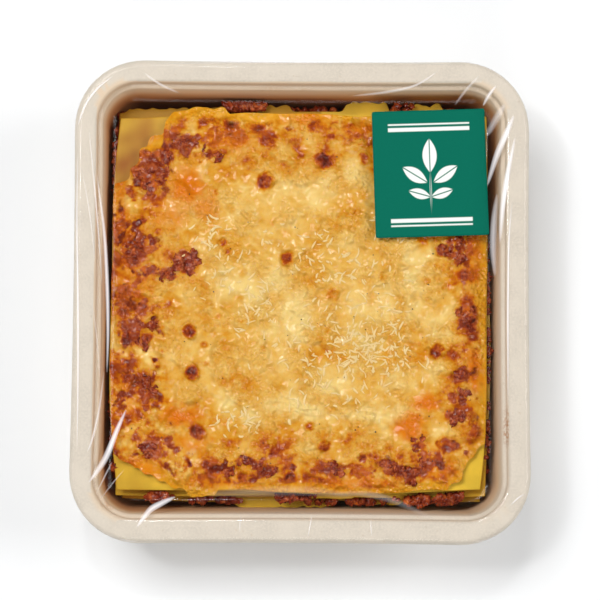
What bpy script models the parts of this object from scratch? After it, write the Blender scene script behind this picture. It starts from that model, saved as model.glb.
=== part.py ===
"""A chilled lasagne in its own moulded-pulp tray, under a clear film with a plain label.

Metres, +Z up. The origin is at the centre of the tray's underside. +X is the photograph's right
and +Y its top. Run it with: blender --background --python part.py
"""

import math
import random

import bmesh
import bpy
from mathutils import Matrix, Vector, noise
from mathutils.bvhtree import BVHTree

# Outline of the pack over its film, before the bow draws its sides in
PACK_X = 0.1824
PACK_Y = 0.1928
CORNER_RADIUS = 0.029
CORNER_TIGHTENING = 1.25
SMALLEST_RADIUS = 0.011
SIDE_BOW = 0.0010

# Tray: a pulp shell whose insets are measured from its lip
TRAY_WALL = 0.0011
RIM_HEIGHT = 0.0450
LIP_DROP = 0.0060
LIP_LEAN = 0.0005
LIP_ROUND_WIDTH = 0.0023
LIP_ROUND_DROP = 0.0026
LIP_ROUND_DEGREES = (0.0, 32.0, 62.0, 90.0)
RIM_FLAT_INSET = 0.0080
# Rounding of the rim's inner edge: share of the way to the step, drop
STEP_SHOULDERS = ((0.55, 0.0004), (0.85, 0.0013))
STEP_INSET = 0.0098
STEP_DROP = 0.0038
SHELF_INSET = 0.0112
SHELF_DROP = 0.0044
WALL_INSET = 0.0115
WALL_DROP = 0.0052
WALL_DRAFT = math.radians(6.0)
FLOOR_FILLET = 0.0065
FILLET_DEGREES = (30.0, 60.0, 90.0)

# Film: drawn over the rim and down on to the food
FILM_THICKNESS = 0.00025
TOUCH_GAP = 0.0003
FILM_DIP = 0.0063
FILM_EDGE_FALL = 0.0004
FILM_SLOPE_START = 0.0095
FILM_SLOPE_END = 0.0175
FILM_SLOPE_SHARES = (0.0, 0.3, 0.7, 1.0)

# Label on the film
LABEL_X = 0.0450
LABEL_Y = 0.0508
LABEL_THICKNESS = 0.0002
LABEL_GAP = 0.0004
LABEL_CENTRE = (0.0511, 0.0511)
LABEL_TURN = math.radians(2.0)

# Lasagne: sheets of pasta with meat sauce between them
SHEET_THICKNESS = 0.0014
TOP_SHEET_HEIGHT = 0.0322
LAYER_PITCH = 0.0063
LAYER_GAP = 0.00045
LOWEST_RAGU_HEIGHT = 0.0015
SHEET_EDGE_WAVE = 0.0005
# Waver of the left and right edges, then of the near and far ones: radians in half a side, shift a layer
WAVER_ACROSS = (5.0, 2.1)
WAVER_ALONG = (4.3, 1.3)
END_BULGE_SHARE = 0.4
# Each sheet from the lowest: half width, half depth, side bulge, centre x, centre y
SHEETS = (
    (0.0690, 0.0725, 0.0020, 0.0004, -0.0004),
    (0.0705, 0.0735, 0.0020, -0.0005, 0.0006),
    (0.0715, 0.0765, 0.0022, 0.0004, -0.0020),
    (0.0741, 0.0770, 0.0014, 0.0003, 0.0002),
    (0.0717, 0.0746, 0.0032, -0.0003, 0.0000),
)
LAYER_WAVE = 0.0005
LAYER_WAVE_LENGTH = 0.045
CORNER_DROOP = 0.0016
LOWER_DROOP_SHARE = 0.5
# Where a corner starts and ends, as the sum of both shares of the half sizes
CORNER_START = 1.55
CORNER_END = 2.0
RAGU_INSET = 0.0018
RAGU_BULGE = 0.0008
RAGU_FLOOR_INSET = 0.0054
RAGU_RAGGEDNESS = 2.6

# Cheese and sauce on the top sheet
TOPPING_EDGE_INSET = 0.0008
TOPPING_EDGE_THICKNESS = 0.0010
TOPPING_THICKNESS = 0.0026
TOPPING_CROWN = 0.0010
TOPPING_RELIEF = 0.0007
BROAD_RELIEF_LENGTH = 0.022
BROAD_RELIEF_SHARE = 0.8
FINE_RELIEF_LENGTH = 0.008
FINE_RELIEF_SHARE = 0.45
TOPPING_RAGGED = 0.0007
TOPPING_RAGGEDNESS = 5.0
EDGE_ROUNDING_START = 0.90
TOPPING_CELLS = 32
TOPPING_CEILING = 0.0379
# Where each bare corner of pasta starts: share of the half width, share of the half depth
BARE_CORNERS = {(-1, 1): (0.73, 0.60), (-1, -1): (0.65, 0.83), (1, -1): (0.83, 0.75), (1, 1): (0.90, 0.90)}

# Browned blisters and meat lumps that stand out of the cheese: x, y, radius
BLISTERS = (
    (0.0088, 0.0567, 0.0044),
    (-0.0145, 0.0486, 0.0044),
    (-0.0056, 0.0172, 0.0036),
    (0.0124, 0.0027, 0.0032),
    (-0.0446, -0.0122, 0.0037),
    (-0.0438, -0.0287, 0.0036),
    (0.0546, -0.0203, 0.0036),
    (0.0670, -0.0094, 0.0062),
    (0.0096, -0.0582, 0.0032),
    (-0.0417, -0.0525, 0.0045),
    (0.0618, -0.0465, 0.0046),
    (0.0694, -0.0525, 0.0038),
    (0.0498, -0.0582, 0.0044),
    (-0.0048, -0.0711, 0.0034),
    (-0.0457, 0.0152, 0.0062),
    (-0.0578, 0.0100, 0.0042),
)

# Patches where meat sauce breaks through: x, y, half width, half depth, lumps
RAGU_PATCHES = (
    (-0.0574, 0.0560, 0.0160, 0.0130, 9),
    (-0.0680, 0.0080, 0.0050, 0.0420, 8),
    (-0.0610, -0.0380, 0.0080, 0.0120, 4),
    (-0.0560, -0.0700, 0.0110, 0.0060, 4),
    (-0.0180, -0.0680, 0.0120, 0.0050, 4),
    (0.0430, -0.0700, 0.0140, 0.0050, 6),
    (0.0670, -0.0360, 0.0050, 0.0120, 3),
    (-0.0250, 0.0720, 0.0140, 0.0030, 3),
)
LUMP_RADIUS = (0.0022, 0.0036)
LUMP_FLATTENING = 0.55
LUMP_ROUGHNESS = 0.16
LUMP_STRETCH = (0.85, 1.15)
LUMP_STAND = 0.35
LUMP_LIFT = 0.0004
LUMP_SPACING = 0.8
LUMP_REACH = 0.94
FINE_LUMP_RADIUS = 0.0035

# Meat lumps that stand out of the stack's sides: layer number, place as a share of each half, radius
EDGE_LUMPS = (
    (5, -0.09, -1.00, 0.0024),
    (5, 0.05, -1.00, 0.0024),
    (5, -0.76, -1.00, 0.0030),
    (5, -0.36, 1.01, 0.0040),
    (5, -0.27, 1.03, 0.0036),
    (5, -0.18, 1.01, 0.0034),
    (5, 0.46, 1.01, 0.0036),
    (5, 1.00, 0.16, 0.0026),
    (5, 1.00, -0.24, 0.0026),
    (4, 0.40, -1.01, 0.0030),
    (4, 0.56, -1.01, 0.0032),
    (4, 0.70, -1.01, 0.0030),
    (4, 0.65, 1.01, 0.0034),
)
EDGE_LUMP_HALF_HEIGHT = 0.0014

# Fineness of the meshes
CORNER_STEPS = 6
SIDE_STEPS = 4
SHEET_CELLS = 9
HIDDEN_CELLS = 7
LABEL_CELLS = 7
SHARP_ANGLE = math.radians(40.0)
# Far apart places in the noise, so that no two uses of it look alike
LAYER_NOISE = 3.7
RAGU_NOISE = 5.0
BROAD_NOISE = 0.4
FINE_NOISE = 2.4
OUTLINE_NOISE = 1.0
RANDOM_SEED = 7

FILM_OUTSET = TOUCH_GAP + FILM_THICKNESS
HALF_X = PACK_X / 2
HALF_Y = PACK_Y / 2
SHEET_COUNT = len(SHEETS)
TOP_HALF_X, TOP_HALF_Y, _, TOP_CENTRE_X, TOP_CENTRE_Y = SHEETS[-1]


def clear_scene():
    for existing in list(bpy.data.objects):
        bpy.data.objects.remove(existing, do_unlink=True)


def new_collection(name):
    collection = bpy.data.collections.new(name)
    bpy.context.scene.collection.children.link(collection)
    return collection


def principled(name, colour, roughness, alpha=1.0, subsurface=0.0):
    """A material of one linear colour."""
    material = bpy.data.materials.new(name)
    material.use_nodes = True
    shader = material.node_tree.nodes["Principled BSDF"]
    shader.inputs["Base Color"].default_value = (*colour, 1.0)
    shader.inputs["Roughness"].default_value = roughness
    shader.inputs["Alpha"].default_value = alpha
    shader.inputs["Subsurface Weight"].default_value = subsurface
    material.diffuse_color = (*colour, alpha)
    return material


def object_from(bm, name, material, collection):
    """The bmesh as a smooth-shaded object of this name."""
    bmesh.ops.recalc_face_normals(bm, faces=bm.faces)
    mesh = bpy.data.meshes.new(name)
    bm.to_mesh(mesh)
    bm.free()
    mesh.materials.append(material)
    mesh.shade_smooth()
    mesh.set_sharp_from_angle(angle=SHARP_ANGLE)
    made = bpy.data.objects.new(name, mesh)
    collection.objects.link(made)
    return made


def smooth_step(low, high, value):
    share = min(max((value - low) / (high - low), 0.0), 1.0)
    return share * share * (3.0 - 2.0 * share)


def bowed(x, y):
    """Draws the sides in a little between the corners."""
    across = 1.0 - SIDE_BOW / HALF_X * (1.0 - (y / HALF_Y) ** 2)
    along = 1.0 - SIDE_BOW / HALF_Y * (1.0 - (x / HALF_X) ** 2)
    return x * across, y * along


def tray_ring(inset, height):
    """A rounded rectangle, this far inside the pack's outline, anticlockwise from the right."""
    radius = max(CORNER_RADIUS - CORNER_TIGHTENING * inset, SMALLEST_RADIUS)
    reach_x = HALF_X - inset - radius
    reach_y = HALF_Y - inset - radius
    corners = []
    for quarter, (side_x, side_y) in enumerate(((1, 1), (-1, 1), (-1, -1), (1, -1))):
        corner = []
        for step in range(CORNER_STEPS + 1):
            angle = math.pi / 2 * (quarter + step / CORNER_STEPS)
            x = side_x * reach_x + radius * math.cos(angle)
            y = side_y * reach_y + radius * math.sin(angle)
            corner.append((x, y))
        corners.append(corner)
    points = []
    for corner, following in zip(corners, corners[1:] + corners[:1]):
        points += corner
        start, end = Vector(corner[-1]), Vector(following[0])
        points += [tuple(start.lerp(end, step / SIDE_STEPS)) for step in range(1, SIDE_STEPS)]
    return [Vector((*bowed(x, y), height)) for x, y in points]


def shell(name, profile, thickness, material, collection):
    """A dish through rings of the profile, from its lip to its floor, thickened downwards."""
    bm = bmesh.new()
    rings = []
    for inset, height in profile:
        rings.append([bm.verts.new(point) for point in tray_ring(inset, height)])
    for outer, inner in zip(rings, rings[1:]):
        for index in range(len(outer)):
            after = (index + 1) % len(outer)
            bm.faces.new((outer[index], outer[after], inner[after], inner[index]))
    bm.faces.new(rings[-1])
    made = object_from(bm, name, material, collection)
    solidify = made.modifiers.new("Thickness", "SOLIDIFY")
    solidify.thickness = thickness
    solidify.offset = -1.0
    solidify.use_even_offset = True
    return made


def lip_profile():
    """(inset, height) over the tray's lip and on to the flat of its rim."""
    points = [(0.0, RIM_HEIGHT - LIP_DROP)]
    for degrees in LIP_ROUND_DEGREES:
        angle = math.radians(degrees)
        inset = LIP_LEAN + LIP_ROUND_WIDTH * (1.0 - math.cos(angle))
        points.append((inset, RIM_HEIGHT - LIP_ROUND_DROP * (1.0 - math.sin(angle))))
    points.append((RIM_FLAT_INSET, RIM_HEIGHT))
    return points


def wall_inset(height):
    """How far inside the lip the tray's inner wall is at this height."""
    return WALL_INSET + (RIM_HEIGHT - WALL_DROP - height) * math.tan(WALL_DRAFT)


def tray_profile():
    """(inset, height) of the tray's upper face, with insets from the pack's outline."""
    points = lip_profile()
    for share, drop in STEP_SHOULDERS:
        points.append((RIM_FLAT_INSET + share * (STEP_INSET - RIM_FLAT_INSET), RIM_HEIGHT - drop))
    points.append((STEP_INSET, RIM_HEIGHT - STEP_DROP))
    points.append((SHELF_INSET, RIM_HEIGHT - SHELF_DROP))
    points.append((WALL_INSET, RIM_HEIGHT - WALL_DROP))
    fillet_top = TRAY_WALL + FLOOR_FILLET
    points.append((wall_inset(fillet_top), fillet_top))
    for degrees in FILLET_DEGREES:
        angle = math.radians(degrees)
        inset = wall_inset(fillet_top) + FLOOR_FILLET * (1.0 - math.cos(angle))
        points.append((inset, TRAY_WALL + FLOOR_FILLET * (1.0 - math.sin(angle))))
    return [(inset + FILM_OUTSET, height) for inset, height in points]


def film_profile():
    """(inset, height) of the film's upper face: along the lip, over the rim and down to the food."""
    lip = lip_profile()
    points = [(0.0, RIM_HEIGHT - LIP_DROP - TOUCH_GAP)]
    for before, here, after in zip(lip, lip[1:], lip[2:]):
        along = Vector(after) - Vector(before)
        outward = Vector((-along.y, along.x)).normalized() * FILM_OUTSET
        points.append((here[0] + FILM_OUTSET + outward.x, here[1] + outward.y))
    top = RIM_HEIGHT + FILM_OUTSET
    points.append((RIM_FLAT_INSET + FILM_OUTSET, top))
    start = top - FILM_EDGE_FALL
    for share in FILM_SLOPE_SHARES:
        inset = FILM_SLOPE_START + share * (FILM_SLOPE_END - FILM_SLOPE_START)
        fall = (start - RIM_HEIGHT + FILM_DIP) * smooth_step(0.0, 1.0, share)
        points.append((inset, start - fall))
    return points


def slab(name, cells, surfaces, material, collection):
    """A closed slab: a square grid laid on each surface in turn, lowest first, joined at its edges.

    A surface takes u and v from -1 to 1 and gives a point.
    """
    bm = bmesh.new()
    bmesh.ops.create_grid(bm, x_segments=cells, y_segments=cells, size=1.0)
    top = bm.faces[:]
    for level in range(1, len(surfaces)):
        made = bmesh.ops.extrude_face_region(bm, geom=top)["geom"]
        if level > 1:
            bmesh.ops.delete(bm, geom=top, context="FACES")
        top = [item for item in made if isinstance(item, bmesh.types.BMFace)]
        lifted = [item for item in made if isinstance(item, bmesh.types.BMVert)]
        bmesh.ops.translate(bm, verts=lifted, vec=(0.0, 0.0, 1.0))
    for vertex in bm.verts:
        surface = surfaces[round(vertex.co.z)]
        vertex.co = surface(vertex.co.x, vertex.co.y)
    return object_from(bm, name, material, collection)


def wave(x, y, layer):
    """The gentle unevenness that a sheet shares with the sauce under and over it."""
    place = Vector((x / LAYER_WAVE_LENGTH, y / LAYER_WAVE_LENGTH, LAYER_NOISE * layer))
    return LAYER_WAVE * noise.noise(place)


def corner_share(x, y):
    """0 over most of a sheet, rising to 1 at its corners."""
    away = abs(x) / TOP_HALF_X + abs(y) / TOP_HALF_Y
    return smooth_step(CORNER_START, CORNER_END, away)


def sheet_top(x, y, layer):
    """Height of the upper face of this sheet, counted from 1 at the bottom."""
    height = TOP_SHEET_HEIGHT - (SHEET_COUNT - layer) * LAYER_PITCH
    if layer == SHEET_COUNT:
        return height - CORNER_DROOP * corner_share(x, y)
    return height + wave(x, y, layer) - LOWER_DROOP_SHARE * CORNER_DROOP * corner_share(x, y)


def sheet_outline(u, v, layer, inset):
    """Where a grid point lies on a sheet: sides bulge and waver, corners stay fairly square."""
    half_x, half_y, bulge, centre_x, centre_y = SHEETS[layer - 1]
    waver_x = SHEET_EDGE_WAVE * math.sin(WAVER_ACROSS[0] * v + WAVER_ACROSS[1] * layer + (u > 0))
    waver_y = SHEET_EDGE_WAVE * math.sin(WAVER_ALONG[0] * u + WAVER_ALONG[1] * layer + 2 * (v > 0))
    reach_x = half_x - inset + bulge * (1.0 - v * v) + waver_x
    reach_y = half_y - inset + END_BULGE_SHARE * bulge * (1.0 - u * u) + waver_y
    return centre_x + u * reach_x, centre_y + v * reach_y


def pasta_sheet(layer, material, collection):
    cells = SHEET_CELLS if layer >= SHEET_COUNT - 1 else HIDDEN_CELLS

    def face(u, v, drop):
        x, y = sheet_outline(u, v, layer, 0.0)
        return Vector((x, y, sheet_top(x, y, layer) - drop))

    surfaces = (lambda u, v: face(u, v, SHEET_THICKNESS), lambda u, v: face(u, v, 0.0))
    return slab(f"pasta_sheet_{layer}", cells, surfaces, material, collection)


def ragu_faces(layer):
    """The lower and upper heights of the sauce under this sheet, as functions of x and y."""

    def lower(x, y):
        if layer == 1:
            return LOWEST_RAGU_HEIGHT
        return sheet_top(x, y, layer - 1) + LAYER_GAP

    def upper(x, y):
        return sheet_top(x, y, layer) - SHEET_THICKNESS - LAYER_GAP

    return lower, upper


def ragu_layer(layer, material, collection):
    cells = SHEET_CELLS if layer >= SHEET_COUNT - 1 else HIDDEN_CELLS
    lower, upper = ragu_faces(layer)

    def outline(u, v, bulge):
        place = Vector((RAGU_RAGGEDNESS * u, RAGU_RAGGEDNESS * v, RAGU_NOISE * layer))
        ragged = RAGU_INSET * noise.noise(place)
        return sheet_outline(u, v, layer, RAGU_INSET - bulge + ragged)

    def bottom(u, v):
        floor_inset = RAGU_FLOOR_INSET if layer == 1 else 0.0
        x, y = outline(u, v, -floor_inset)
        return Vector((x, y, lower(x, y)))

    def middle(u, v):
        x, y = outline(u, v, RAGU_BULGE)
        return Vector((x, y, (lower(x, y) + upper(x, y)) / 2))

    def top(u, v):
        x, y = outline(u, v, 0.0)
        return Vector((x, y, upper(x, y)))

    made = slab(f"ragu_layer_{layer}", cells, (bottom, middle, top), material, collection)
    lumps = []
    for number, (home, u, v, radius) in enumerate(EDGE_LUMPS):
        if home == layer:
            x, y = outline(u, v, 0.0)
            height = (lower(x, y) + upper(x, y)) / 2
            rough = random.Random(RANDOM_SEED + number)
            lumps.append(lump((x, y, height), radius, EDGE_LUMP_HALF_HEIGHT, rough))
    if lumps:
        fuse(made, lumps)
    return made


def lump(centre, radius, half_height, rough):
    """An uneven pebble of meat or browned cheese, as a bmesh. Only a large one gets more faces."""
    bm = bmesh.new()
    subdivisions = 2 if radius > FINE_LUMP_RADIUS else 1
    bmesh.ops.create_icosphere(bm, subdivisions=subdivisions, radius=1.0)
    for vertex in bm.verts:
        vertex.co *= 1.0 + rough.uniform(-LUMP_ROUGHNESS, LUMP_ROUGHNESS)
        vertex.co.z = max(min(vertex.co.z, 1.0), -1.0)
    stretch = rough.uniform(*LUMP_STRETCH)
    size = Matrix.Diagonal((radius * stretch, radius / stretch, half_height, 1.0))
    turn = Matrix.Rotation(rough.uniform(0.0, math.pi), 4, "Z")
    bm.transform(Matrix.Translation(centre) @ turn @ size)
    return bm


def fuse(body, lumps):
    """Joins the lumps to the body in one Boolean union and removes them."""
    helpers = new_collection(f"lumps for {body.name}")
    for number, bm in enumerate(lumps):
        mesh = bpy.data.meshes.new(f"lump_{number}")
        bm.to_mesh(mesh)
        bm.free()
        helper = bpy.data.objects.new(f"lump_{number}", mesh)
        helper.hide_render = True
        helper.display_type = "WIRE"
        helpers.objects.link(helper)
    union = body.modifiers.new("Lumps", "BOOLEAN")
    union.operation = "UNION"
    union.operand_type = "COLLECTION"
    union.collection = helpers
    union.solver = "EXACT"
    with bpy.context.temp_override(object=body, active_object=body):
        bpy.ops.object.modifier_apply(modifier=union.name)
    for helper in list(helpers.objects):
        bpy.data.objects.remove(helper, do_unlink=True)
    bpy.data.collections.remove(helpers)
    body.data.shade_smooth()
    body.data.set_sharp_from_angle(angle=SHARP_ANGLE)


def corner_reach(u, v):
    """The sum that a place on the line across its bare corner makes, and the sum of this place."""
    bare_u, bare_v = BARE_CORNERS[(1 if u > 0 else -1, 1 if v > 0 else -1)]
    return 1.0 - bare_u * bare_v, (1.0 - bare_v) * abs(u) + (1.0 - bare_u) * abs(v)


def topping_outline(u, v):
    """The cheese reaches the sheet's sides but leaves its corners bare."""
    outermost = max(abs(u), abs(v))
    if outermost > 0.0:
        limit, away = corner_reach(u / outermost, v / outermost)
        kept = min(1.0, limit / away)
        u, v = u * kept, v * kept
    place = Vector((TOPPING_RAGGEDNESS * u, TOPPING_RAGGEDNESS * v, OUTLINE_NOISE))
    return sheet_outline(u, v, SHEET_COUNT, TOPPING_EDGE_INSET + TOPPING_RAGGED * noise.noise(place))


def topping_height(x, y, edge):
    """Height of the cheese's upper face, where edge is 1 at its outline and 0 well inside."""
    crown = TOPPING_CROWN * (1.0 - (x / TOP_HALF_X) ** 2) * (1.0 - (y / TOP_HALF_Y) ** 2)
    broad = noise.noise(Vector((x / BROAD_RELIEF_LENGTH, y / BROAD_RELIEF_LENGTH, BROAD_NOISE)))
    fine = noise.noise(Vector((x / FINE_RELIEF_LENGTH, y / FINE_RELIEF_LENGTH, FINE_NOISE)))
    relief = TOPPING_RELIEF * (BROAD_RELIEF_SHARE * broad + FINE_RELIEF_SHARE * fine)
    full = TOPPING_THICKNESS + crown + relief
    sheet = TOP_SHEET_HEIGHT + LAYER_GAP
    return sheet + full + (TOPPING_EDGE_THICKNESS - full) * edge


def edge_share(u, v):
    """1 at the topping's outline, falling to 0 a few millimetres inside."""
    return smooth_step(EDGE_ROUNDING_START, 1.0, max(abs(u), abs(v)))


def topping_surface(u, v):
    x, y = topping_outline(u, v)
    return Vector((x, y, topping_height(x, y, edge_share(u, v))))


def on_topping(x, y, radius):
    """Whether a lump here stands on the cheese and not past its outline."""
    u = (x - TOP_CENTRE_X) / (TOP_HALF_X + radius / 2)
    v = (y - TOP_CENTRE_Y) / (TOP_HALF_Y + radius / 2)
    limit, away = corner_reach(u, v)
    return max(abs(u), abs(v)) < LUMP_REACH and away < LUMP_REACH * limit


def topping_lumps():
    """Blisters where the photograph shows them, and scattered meat in the sauce's patches."""
    rough = random.Random(RANDOM_SEED)
    places = list(BLISTERS)
    for x, y, half_x, half_y, count in RAGU_PATCHES:
        for _ in range(count):
            across = x + half_x * rough.uniform(-1.0, 1.0)
            along = y + half_y * rough.uniform(-1.0, 1.0)
            places.append((across, along, rough.uniform(*LUMP_RADIUS)))
    kept = []
    for x, y, radius in places:
        clear = all(math.hypot(x - a, y - b) > LUMP_SPACING * (radius + c) for a, b, c in kept)
        if clear and on_topping(x, y, radius):
            kept.append((x, y, radius))
    lumps = []
    for x, y, radius in kept:
        half_height = LUMP_FLATTENING * min(radius, LUMP_RADIUS[1])
        surface = topping_height(x, y, edge_share(x / TOP_HALF_X, y / TOP_HALF_Y))
        centre = surface - half_height * (1.0 - LUMP_STAND) + LUMP_LIFT
        lowest = TOP_SHEET_HEIGHT + LAYER_GAP + half_height
        centre = min(max(centre, lowest), TOPPING_CEILING - half_height)
        lumps.append(lump((x, y, centre), radius, half_height, rough))
    return lumps


def cheese_topping(material, collection):
    """The relief of the cheese on a flat underside, with the lumps fused on."""
    bm = bmesh.new()
    bmesh.ops.create_grid(bm, x_segments=TOPPING_CELLS, y_segments=TOPPING_CELLS, size=1.0)
    rim = [edge for edge in bm.edges if edge.is_boundary]
    made = bmesh.ops.extrude_edge_only(bm, edges=rim)["geom"]
    lowered = [item for item in made if isinstance(item, bmesh.types.BMVert)]
    bmesh.ops.translate(bm, verts=lowered, vec=(0.0, 0.0, -1.0))
    lower_edges = [item for item in made if isinstance(item, bmesh.types.BMEdge)]
    bmesh.ops.contextual_create(bm, geom=lower_edges)
    underside = TOP_SHEET_HEIGHT + LAYER_GAP
    for vertex in bm.verts:
        point = topping_surface(vertex.co.x, vertex.co.y)
        if vertex.co.z < -0.5:
            point.z = underside
        vertex.co = point
    made = object_from(bm, "cheese_topping", material, collection)
    fuse(made, topping_lumps())
    return made


def label(film, material, collection):
    """A square of gummed paper that lies along the film."""
    surface = BVHTree.FromObject(film, bpy.context.evaluated_depsgraph_get())

    def face(u, v, rise):
        along = Matrix.Rotation(LABEL_TURN, 2) @ Vector((u * LABEL_X / 2, v * LABEL_Y / 2))
        x, y = LABEL_CENTRE[0] + along.x, LABEL_CENTRE[1] + along.y
        under, _, _, _ = surface.ray_cast(Vector((x, y, 2 * RIM_HEIGHT)), Vector((0.0, 0.0, -1.0)))
        return Vector((x, y, under.z + LABEL_GAP + rise))

    surfaces = (lambda u, v: face(u, v, 0.0), lambda u, v: face(u, v, LABEL_THICKNESS))
    return slab("label", LABEL_CELLS, surfaces, material, collection)


def main():
    clear_scene()
    pack = new_collection("Lasagne pack")
    pulp = principled("moulded pulp", (0.76, 0.69, 0.58), 0.85)
    clear = principled("clear film", (0.95, 0.95, 0.95), 0.05, alpha=0.15)
    paper = principled("label paper", (0.003, 0.145, 0.090), 0.55)
    pasta = principled("egg pasta", (0.66, 0.38, 0.06), 0.40, subsurface=0.1)
    sauce = principled("meat sauce", (0.27, 0.06, 0.02), 0.45, subsurface=0.1)
    cheese = principled("melted cheese", (0.79, 0.49, 0.14), 0.35, subsurface=0.2)

    shell("tray", tray_profile(), TRAY_WALL, pulp, pack)
    film = shell("film", film_profile(), FILM_THICKNESS, clear, pack)
    label(film, paper, pack)
    for layer in range(1, SHEET_COUNT + 1):
        ragu_layer(layer, sauce, pack)
        pasta_sheet(layer, pasta, pack)
    cheese_topping(cheese, pack)


main()
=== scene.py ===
"""The looks of a film-sealed lasagne in a moulded-pulp tray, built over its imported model."""

import math
import random
from functools import partial

import bmesh
import bpy
from bpy.props import FloatProperty, FloatVectorProperty, IntProperty, PointerProperty
from mathutils import Matrix, Vector, noise
from mathutils.bvhtree import BVHTree


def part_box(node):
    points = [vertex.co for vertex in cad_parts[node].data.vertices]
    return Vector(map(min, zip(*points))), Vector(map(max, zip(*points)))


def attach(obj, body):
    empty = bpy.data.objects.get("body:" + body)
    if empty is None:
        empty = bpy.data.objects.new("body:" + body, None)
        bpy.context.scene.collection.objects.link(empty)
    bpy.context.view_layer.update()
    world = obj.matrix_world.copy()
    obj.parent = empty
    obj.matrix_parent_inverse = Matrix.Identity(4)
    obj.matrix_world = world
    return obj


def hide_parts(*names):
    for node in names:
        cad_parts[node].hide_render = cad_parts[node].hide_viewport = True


bl_info = {
    "name": "Lasagne Pack",
    "version": (1, 0, 0),
    "blender": (4, 5, 0),
    "location": "3D View > Sidebar > Lasagne",
    "description": "Builds a lasagne ready meal under clear film",
    "category": "Add Mesh",
}

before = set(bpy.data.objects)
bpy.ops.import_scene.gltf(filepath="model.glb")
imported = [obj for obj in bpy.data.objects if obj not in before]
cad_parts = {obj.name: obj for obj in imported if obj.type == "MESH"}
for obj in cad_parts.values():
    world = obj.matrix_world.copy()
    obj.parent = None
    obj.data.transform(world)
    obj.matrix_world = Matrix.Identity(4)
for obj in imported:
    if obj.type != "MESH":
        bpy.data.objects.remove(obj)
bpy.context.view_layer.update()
MM = 0.001

# Outline of the pack, from the frame: the film's box and the tray's rim
FILM_LOW, FILM_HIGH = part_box("film")
RIM_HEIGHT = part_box("tray")[1].z
SIDE_BOW = 1.0 * MM
CORNER_RADIUS = 29.0 * MM
CORNER_TIGHTENING = 1.25
SMALLEST_RADIUS = 11.0 * MM
# The bow draws the sides in by about half of its depth where the corners start
HALF_X = (FILM_HIGH.x - FILM_LOW.x) / 2 + 0.5 * SIDE_BOW
HALF_Y = (FILM_HIGH.y - FILM_LOW.y) / 2 + 0.5 * SIDE_BOW

# Tray
TRAY_WALL = 1.1 * MM
LIP_DROP = 6.0 * MM
LIP_LEAN = 0.5 * MM
LIP_ROUND_WIDTH = 2.3 * MM
LIP_ROUND_DROP = 2.6 * MM
LIP_STEPS = 6
RIM_FLAT_INSET = 8.0 * MM
STEP_SHOULDERS = ((0.30, 0.1), (0.55, 0.4), (0.75, 0.8), (0.90, 1.7))
STEP_INSET = 9.8 * MM
STEP_DROP = 3.8 * MM
SHELF_INSET = 11.2 * MM
SHELF_DROP = 4.4 * MM
WALL_INSET = 11.5 * MM
WALL_DROP = 5.2 * MM
WALL_DRAFT = math.radians(6.0)
FLOOR_FILLET = 6.5 * MM
FILLET_STEPS = 5
WALL_STEPS = 6

# Film
FILM_OUTSET = 0.55 * MM
TRAY_GAP = 0.15 * MM
FILM_DIP = 6.3 * MM
FILM_EDGE_FALL = 0.4 * MM
FILM_SLOPE_START = 9.5 * MM
FILM_SLOPE_END = 17.5 * MM
FILM_SLOPE_STEPS = 8
FILM_INNER_RINGS = 16
FILM_LAST_INSET = 76.0 * MM
FILM_RIPPLE = 0.16 * MM
FILM_RIPPLE_LENGTH = 14.0 * MM
CORNER_STEPS = 12
SIDE_STEPS = 12

# Label
LABEL_TURN = math.radians(2.0)
LABEL_HALF = (22.5 * MM, 25.4 * MM)
LABEL_CELLS = (44, 48)
LABEL_LIFT = 0.35 * MM

# Stack of pasta and meat sauce, counted from 1 at the bottom
SHEET_THICKNESS = 1.4 * MM
TOP_SHEET_HEIGHT = 32.2 * MM
LAYER_PITCH = 6.3 * MM
LAYER_GAP = 0.45 * MM
SHEET_EDGE_WAVE = 0.5 * MM
SHEET_EDGE_ROUNDING = 0.35 * MM
SHEET_CELLS = 110
SAUCE_CELLS = 72
WAVER_ACROSS = (5.0, 2.1)
WAVER_ALONG = (4.3, 1.3)
END_BULGE_SHARE = 0.4
# Half width, half depth, side bulge, centre x, centre y in mm of the sheets that show
SHEETS = {
    3: (71.5, 76.5, 2.2, 0.4, -2.0),
    4: (74.1, 77.0, 1.4, 0.3, 0.2),
    5: (72.2, 74.6, 3.2, -0.8, 0.0),
}
SHEET_COUNT = 5
TOP_HALF_X, TOP_HALF_Y = SHEETS[5][0] * MM, SHEETS[5][1] * MM
TOP_CENTRE_X, TOP_CENTRE_Y = SHEETS[5][3] * MM, SHEETS[5][4] * MM
LAYER_WAVE = 0.5 * MM
LAYER_WAVE_LENGTH = 45.0 * MM
CORNER_DROOP = 1.6 * MM
LOWER_DROOP_SHARE = 0.5
CORNER_START = 1.55
CORNER_END = 2.0
RAGU_INSET = 1.8 * MM
RAGU_BULGE = 0.8 * MM
RAGU_GRAIN = 0.8 * MM
RAGU_GRAININESS = 26.0
# Middle of each sauce layer below the sheet over it
RAGU_MIDDLE_DROP = 3.6 * MM
RAGU_RAGGEDNESS = 2.6

# Cheese topping
TOPPING_EDGE_INSET = 0.4 * MM
TOPPING_EDGE_THICKNESS = 1.0 * MM
TOPPING_THICKNESS = 2.6 * MM
TOPPING_CROWN = 1.0 * MM
TOPPING_RELIEF = 0.7 * MM
BROAD_RELIEF_LENGTH = 22.0 * MM
BROAD_RELIEF_SHARE = 0.8
FINE_RELIEF_LENGTH = 8.0 * MM
FINE_RELIEF_SHARE = 0.45
TOPPING_RAGGED = 0.7 * MM
TOPPING_RAGGEDNESS = 5.0
CORNER_RAGGED = 0.05
CORNER_RAGGEDNESS = 9.0
EDGE_ROUNDING_START = 0.90
TOPPING_CEILING = 37.85 * MM
BARE_CORNERS = {(-1, 1): (0.73, 0.60), (-1, -1): (0.65, 0.83), (1, -1): (0.83, 0.75), (1, 1): (0.90, 0.90)}
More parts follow.
